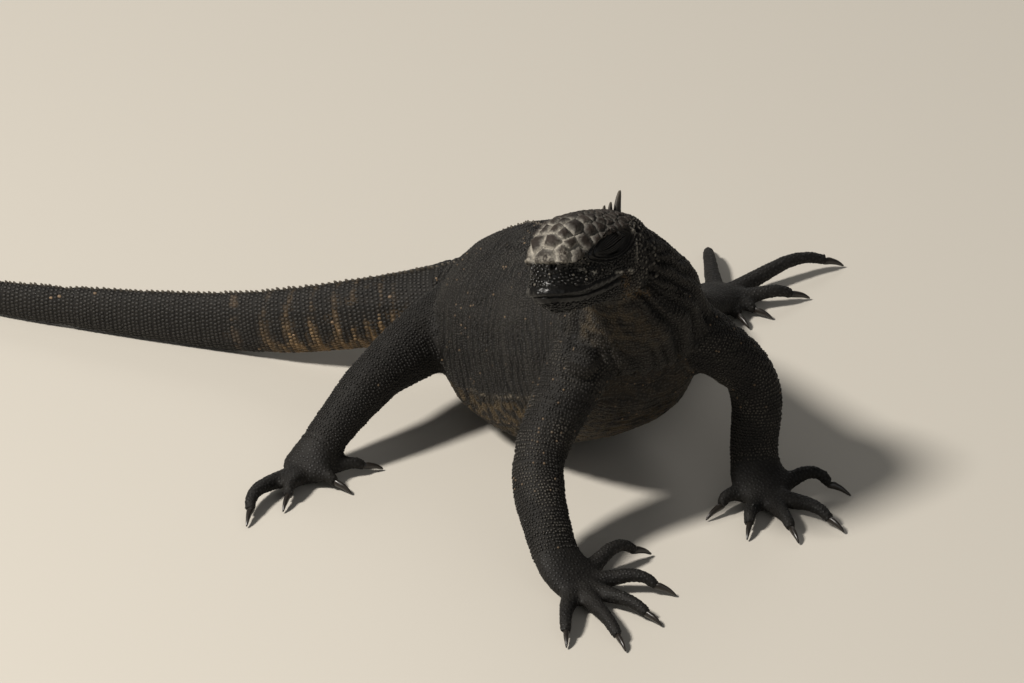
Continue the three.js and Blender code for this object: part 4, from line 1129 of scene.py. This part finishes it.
def face_spacing(spots):
    """Grains on the face: small and round on the snout, biggest on the jowls, none on the plates."""
    q = to_head(spots)
    forward, side, height = q.T
    gap = np.full(len(q), 1.2)
    gap += 0.7 * smoothstep(-17, -23, forward) * smoothstep(2, -6, height)
    gap += 0.35 * smoothstep(6, 16, forward)
    from_mouth = height - curve_at(forward, MOUTH)
    gap[(np.abs(from_mouth) < 0.7) & (forward > -10)] = 0
    gap[(from_mouth > 0) & (from_mouth < 4.4) & (forward > -7)] = 0
    gap[(from_mouth < 0) & (from_mouth > -3.2) & (forward > -7)] = 0
    gap[plated_share(q) > 0.4] = 0
    gap[(eye_ring(q) < 2.1) & (np.abs(side) > 7)] = 0
    gap[(np.hypot((forward + 23.2) / 2.2, (height - 1.4) / 2.9) < 1.4) & (np.abs(side) > 7)] = 0
    for turn in (1, -1):
        hole = np.hypot((side - turn * NOSTRIL[1]) / 1.3, (height - NOSTRIL[2]) / 1.9) < 1.6
        gap[hole & (forward > 20)] = 0
    return gap


face_faces = np.isin(face_owner, index_of("head", "lower_jaw"))
face_rows = scattered(face_faces, face_spacing, neck_rows.place, (0.02, 0.02, 0.96, 0.96), 6)
face_places = to_head(np.array(face_rows.place))
face_gloss = head_marks(np.array(face_rows.place), np.zeros((len(face_places), 3)))[1]
face_tops = 0.12 + 0.9 * smoothstep(-11, -19, face_places[:, 0])
face_tops *= rng.uniform(0.3, 1.7, len(face_places))
# painted highlights: a few muzzle granules take the full pale top colour as glints
glints = (face_places[:, 0] > -2) & (face_places[:, 2] < -3) & (rng.random(len(face_places)) < 0.07)
face_tops = np.clip(np.where(glints, 1.6, face_tops), 0, 1.6)
lay_scales("scales_face", face_rows, bead, 0.8, scale_colors(face_rows), scale_horn, face_tops, face_gloss)

# Shut lids: a soft dome of folded skin over each eyeball, parted by the slit that rises towards
# the back, with lesser folds above and below it.
LID_SIZE = (11.8, 2.7, 4.7)
LID_FOLDS = [(-0.06, 1.0, 0.07), (0.2, 0.55, 0.05), (0.4, 0.6, 0.05), (0.6, 0.5, 0.05), (0.79, 0.4, 0.05),
             (-0.3, 0.5, 0.05), (-0.5, 0.55, 0.05), (-0.72, 0.45, 0.06)]
lid_material = hide_material("lid_skin", 0.5, 0.35, 3000, 0.0001)
for eye_name, side in (("eye_left", 1), ("eye_right", -1)):
    lid_bm = bmesh.new()
    bmesh.ops.create_uvsphere(lid_bm, u_segments=128, v_segments=96, radius=1)
    lid_dips = []
    for vertex in lid_bm.verts:
        a, b, out = vertex.co
        wide = max(1 - a * a, 0.0) ** 0.5
        share = b / max(wide, 0.15) + 0.12 * math.sin(2.5 * a)
        dip = sum(depth * math.exp(-(((share - at) / width) ** 2)) for at, depth, width in LID_FOLDS)
        dip *= min(1, wide * 1.5) * (out > 0)
        lid_dips.append(dip)
        forward = a * LID_SIZE[0]
        rise = b * LID_SIZE[2] * (1 - 0.25 * a * a)
        depth = out * LID_SIZE[1] - dip * 0.95
        x = forward * math.cos(EYE_SLOPE) + rise * math.sin(EYE_SLOPE)
        z = -forward * math.sin(EYE_SLOPE) + rise * math.cos(EYE_SLOPE)
        vertex.co = from_head([(EYE[0] + x, side * (EYE[1] + depth), EYE[2] + z)])[0]
    if side < 0:
        bmesh.ops.reverse_faces(lid_bm, faces=lid_bm.faces)
    bmesh.ops.recalc_face_normals(lid_bm, faces=lid_bm.faces)
    lid_mesh = bpy.data.meshes.new(f"lids_{eye_name}")
    lid_bm.to_mesh(lid_mesh)
    lid_bm.free()
    lid_mesh.shade_smooth()
    # painted shade darkens the lids in the bottoms of their folds
    paint(lid_mesh, BLACK_HIDE * (1.05 - 0.95 * np.clip(lid_dips, 0, 1))[:, None], 0.3)
    lid_mesh.materials.append(lid_material)
    lids = bpy.data.objects.new(f"lids_{eye_name}", lid_mesh)
    bpy.context.scene.collection.objects.link(lids)
    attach(lids, "root")
    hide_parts(eye_name)

# Crest: horny spines in one file down nape, back and tail, flattened from side to side and bent
# back, tallest on the nape and a fine saw along the tail. They are rooted in the hide.
spine_bm = bmesh.new()
bmesh.ops.create_circle(spine_bm, cap_ends=True, radius=0.5, segments=8)
SPINE_RINGS = [(0.0, 1.0, 0.0), (0.25, 0.92, 0.02), (0.5, 0.8, 0.07), (0.74, 0.64, 0.14),
               (0.9, 0.46, 0.2), (0.98, 0.26, 0.23)]
ring_face = spine_bm.faces[:]
for rise, width, bend in SPINE_RINGS:
    grown = bmesh.ops.extrude_face_region(spine_bm, geom=ring_face)
    ring_verts = [g for g in grown["geom"] if isinstance(g, bmesh.types.BMVert)]
    bmesh.ops.delete(spine_bm, geom=ring_face, context="FACES_ONLY")
    ring_face = [g for g in grown["geom"] if isinstance(g, bmesh.types.BMFace)]
    middle = sum((v.co for v in ring_verts), Vector()) / len(ring_verts)
    now = max((v.co - middle).xy.length for v in ring_verts)
    for vertex in ring_verts:
        flat = (vertex.co - middle) * (0.5 * width / now)
        vertex.co = Vector((flat.x, flat.y + bend, rise))
bmesh.ops.poke(spine_bm, faces=ring_face)
bmesh.ops.triangulate(spine_bm, faces=spine_bm.faces)
bmesh.ops.recalc_face_normals(spine_bm, faces=spine_bm.faces)
spine_bm.verts.ensure_lookup_table()
spine_shape = np.array([v.co for v in spine_bm.verts])
spine_corners = np.array([[v.index for v in f.verts] for f in spine_bm.faces])
spine_bm.free()


def crest_along(line, ups, start, end, step_at, height_at, base_at):
    """Roots of the spines along the top of a line: place, way up, way along, height and base."""
    along, left, above = line_frames(line, ups)
    reach = np.concatenate([[0], np.cumsum(np.linalg.norm(np.diff(line, axis=0), axis=1))])
    found = []
    distance = start * reach[-1]
    while distance < end * reach[-1]:
        share = (distance / reach[-1] - start) / (end - start)
        k = int(np.searchsorted(reach, distance))
        origin = Vector(line[k] / 1000 + np.array(TRUNK_ORIGIN))
        hit = hide_tree.ray_cast(origin, Vector(above[k]), 0.075)
        if hit[0]:
            found.append((np.array(hit[0]), above[k], along[k],
                          height_at(share) * rng.uniform(0.82, 1.15), base_at(share)))
        distance += step_at(share) * rng.uniform(0.93, 1.08)
    return found


spines = crest_along(trunk_line[trunk_share > 1.9], np.array([0, 0, 1.0]), 0.0, 0.28,
                     lambda s: 2.6, lambda s: 1.1 - 0.1 * s, lambda s: 2.6)
spines += crest_along(trunk_line[trunk_share > 1.9], np.array([0, 0, 1.0]), 0.28, 0.985,
                      lambda s: 2.8 - 0.6 * s, lambda s: 1.9 - 1.1 * s, lambda s: 2.7 - 0.8 * s)
spines += crest_along(neck_line, neck_ups, 0.2, 0.62,
                      lambda s: 3.2, lambda s: 2.6 + 3.8 * math.sin(math.pi * (0.06 + 0.8 * s)), lambda s: 3.3)
for forward, height, base in [(-21, 1.8, 2.4), (-25.2, 3.8, 3.0), (-29.6, 10.2, 4.8)]:
    root = head_spot(forward, math.pi / 2)
    spines.append((root, np.array(head_up), -np.array(head_forward), height, base))
spine_places, spine_faces, spine_tones, spine_charts = [], [], [], []
for number, (root, rise, along, height, base) in enumerate(spines):
    along = along - rise * (along @ rise)
    along /= np.linalg.norm(along)
    across = np.cross(along, rise)
    twist = rng.normal(0, 0.07)
    tall = spine_shape[:, 2:3] * (height + 1.0) - 1.0
    spot = (root + (spine_shape[:, 1:2] * base * along + spine_shape[:, 0:1] * base * 0.62 * across
                    + tall * (rise + across * twist)) / 1000)
    spot += along * (np.clip(spine_shape[:, 2:3], 0, 1) ** 1.5) * height * 0.22 / 1000
    spine_faces.append(spine_corners + len(spine_places) * len(spine_shape))
    spine_places.append(spot)
    tip = np.clip(spine_shape[:, 2], 0, 1)
    tone = BLACK_HIDE * 1.3 * rng.uniform(0.7, 1.3) + tip[:, None] ** 2 * np.array([0.07, 0.058, 0.043])
    spine_tones.append(tone)
    spine_charts.append(np.array([0.02 + 0.96 * number / len(spines), 0.5])
                        + spine_shape[:, :2] * 0.003 + spine_shape[:, 2:3] * (0, 0.003))
crest_mesh = bpy.data.meshes.new("crest")
crest_mesh.from_pydata(np.vstack(spine_places).tolist(), [], np.vstack(spine_faces).tolist())
crest_mesh.shade_smooth()
crest_uv = crest_mesh.uv_layers.new(name="OFBake")
crest_uv.data.foreach_set(
    "uv", np.vstack(spine_charts)[np.vstack(spine_faces).ravel()].ravel().astype(np.float32))
paint(crest_mesh, np.vstack(spine_tones))
crest_mesh.materials.append(scale_horn)
crest = bpy.data.objects.new("crest", crest_mesh)
bpy.context.scene.collection.objects.link(crest)
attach(crest, "root")

# Claws: dark curved horn at the end of every digit, held in the sheath of the last scale.
CLAW_HORN = (0.011, 0.009, 0.007)
claw_material, claw_tree, claw_shader = add_material("claw_horn", 0.32, 0.5)
claw_place = claw_tree.nodes.new("ShaderNodeTexCoord")
claw_streak = claw_tree.nodes.new("ShaderNodeTexNoise")
claw_streak.inputs["Scale"].default_value = 900
claw_streak.inputs["Detail"].default_value = 4
claw_ramp = claw_tree.nodes.new("ShaderNodeValToRGB")
claw_ramp.color_ramp.elements[0].position = 0.35
claw_ramp.color_ramp.elements[0].color = (*CLAW_HORN, 1)
claw_ramp.color_ramp.elements[1].position = 0.75
claw_ramp.color_ramp.elements[1].color = (0.022, 0.017, 0.013, 1)
claw_tree.links.new(claw_place.outputs["Object"], claw_streak.inputs["Vector"])
claw_tree.links.new(claw_streak.outputs["Fac"], claw_ramp.inputs["Fac"])
claw_tree.links.new(claw_ramp.outputs["Color"], claw_shader.inputs["Base Color"])
for hand in HANDS:
    claws_bm = bmesh.new()
    for digit in range(1, 6):
        before = len(claws_bm.verts)
        claws_bm.from_mesh(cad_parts[f"claw_{hand}_{digit}"].data)
        claw = claws_bm.verts[before:]
        palm = placed(*HANDS[hand])
        nearest = min((v.co - palm).xy.length for v in claw)
        for vertex in claw:
            inward = (palm - vertex.co).normalized()
            from_root = (vertex.co - palm).xy.length - nearest
            vertex.co += inward * 0.0024 * max(0.0, 1 - from_root / 0.0014)
    bmesh.ops.remove_doubles(claws_bm, verts=claws_bm.verts, dist=1e-6)
    claws_mesh = bpy.data.meshes.new(f"claws_{hand}")
    claws_bm.to_mesh(claws_mesh)
    claws_bm.free()
    claws_mesh.shade_smooth()
    claws_mesh.materials.append(claw_material)
    claws = bpy.data.objects.new(f"claws_{hand}", claws_mesh)
    bpy.context.scene.collection.objects.link(claws)
    rounded = claws.modifiers.new("rounded", "SUBSURF")
    rounded.levels = rounded.render_levels = 2
    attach(claws, "root")
    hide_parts(*[f"claw_{hand}_{digit}" for digit in range(1, 6)])
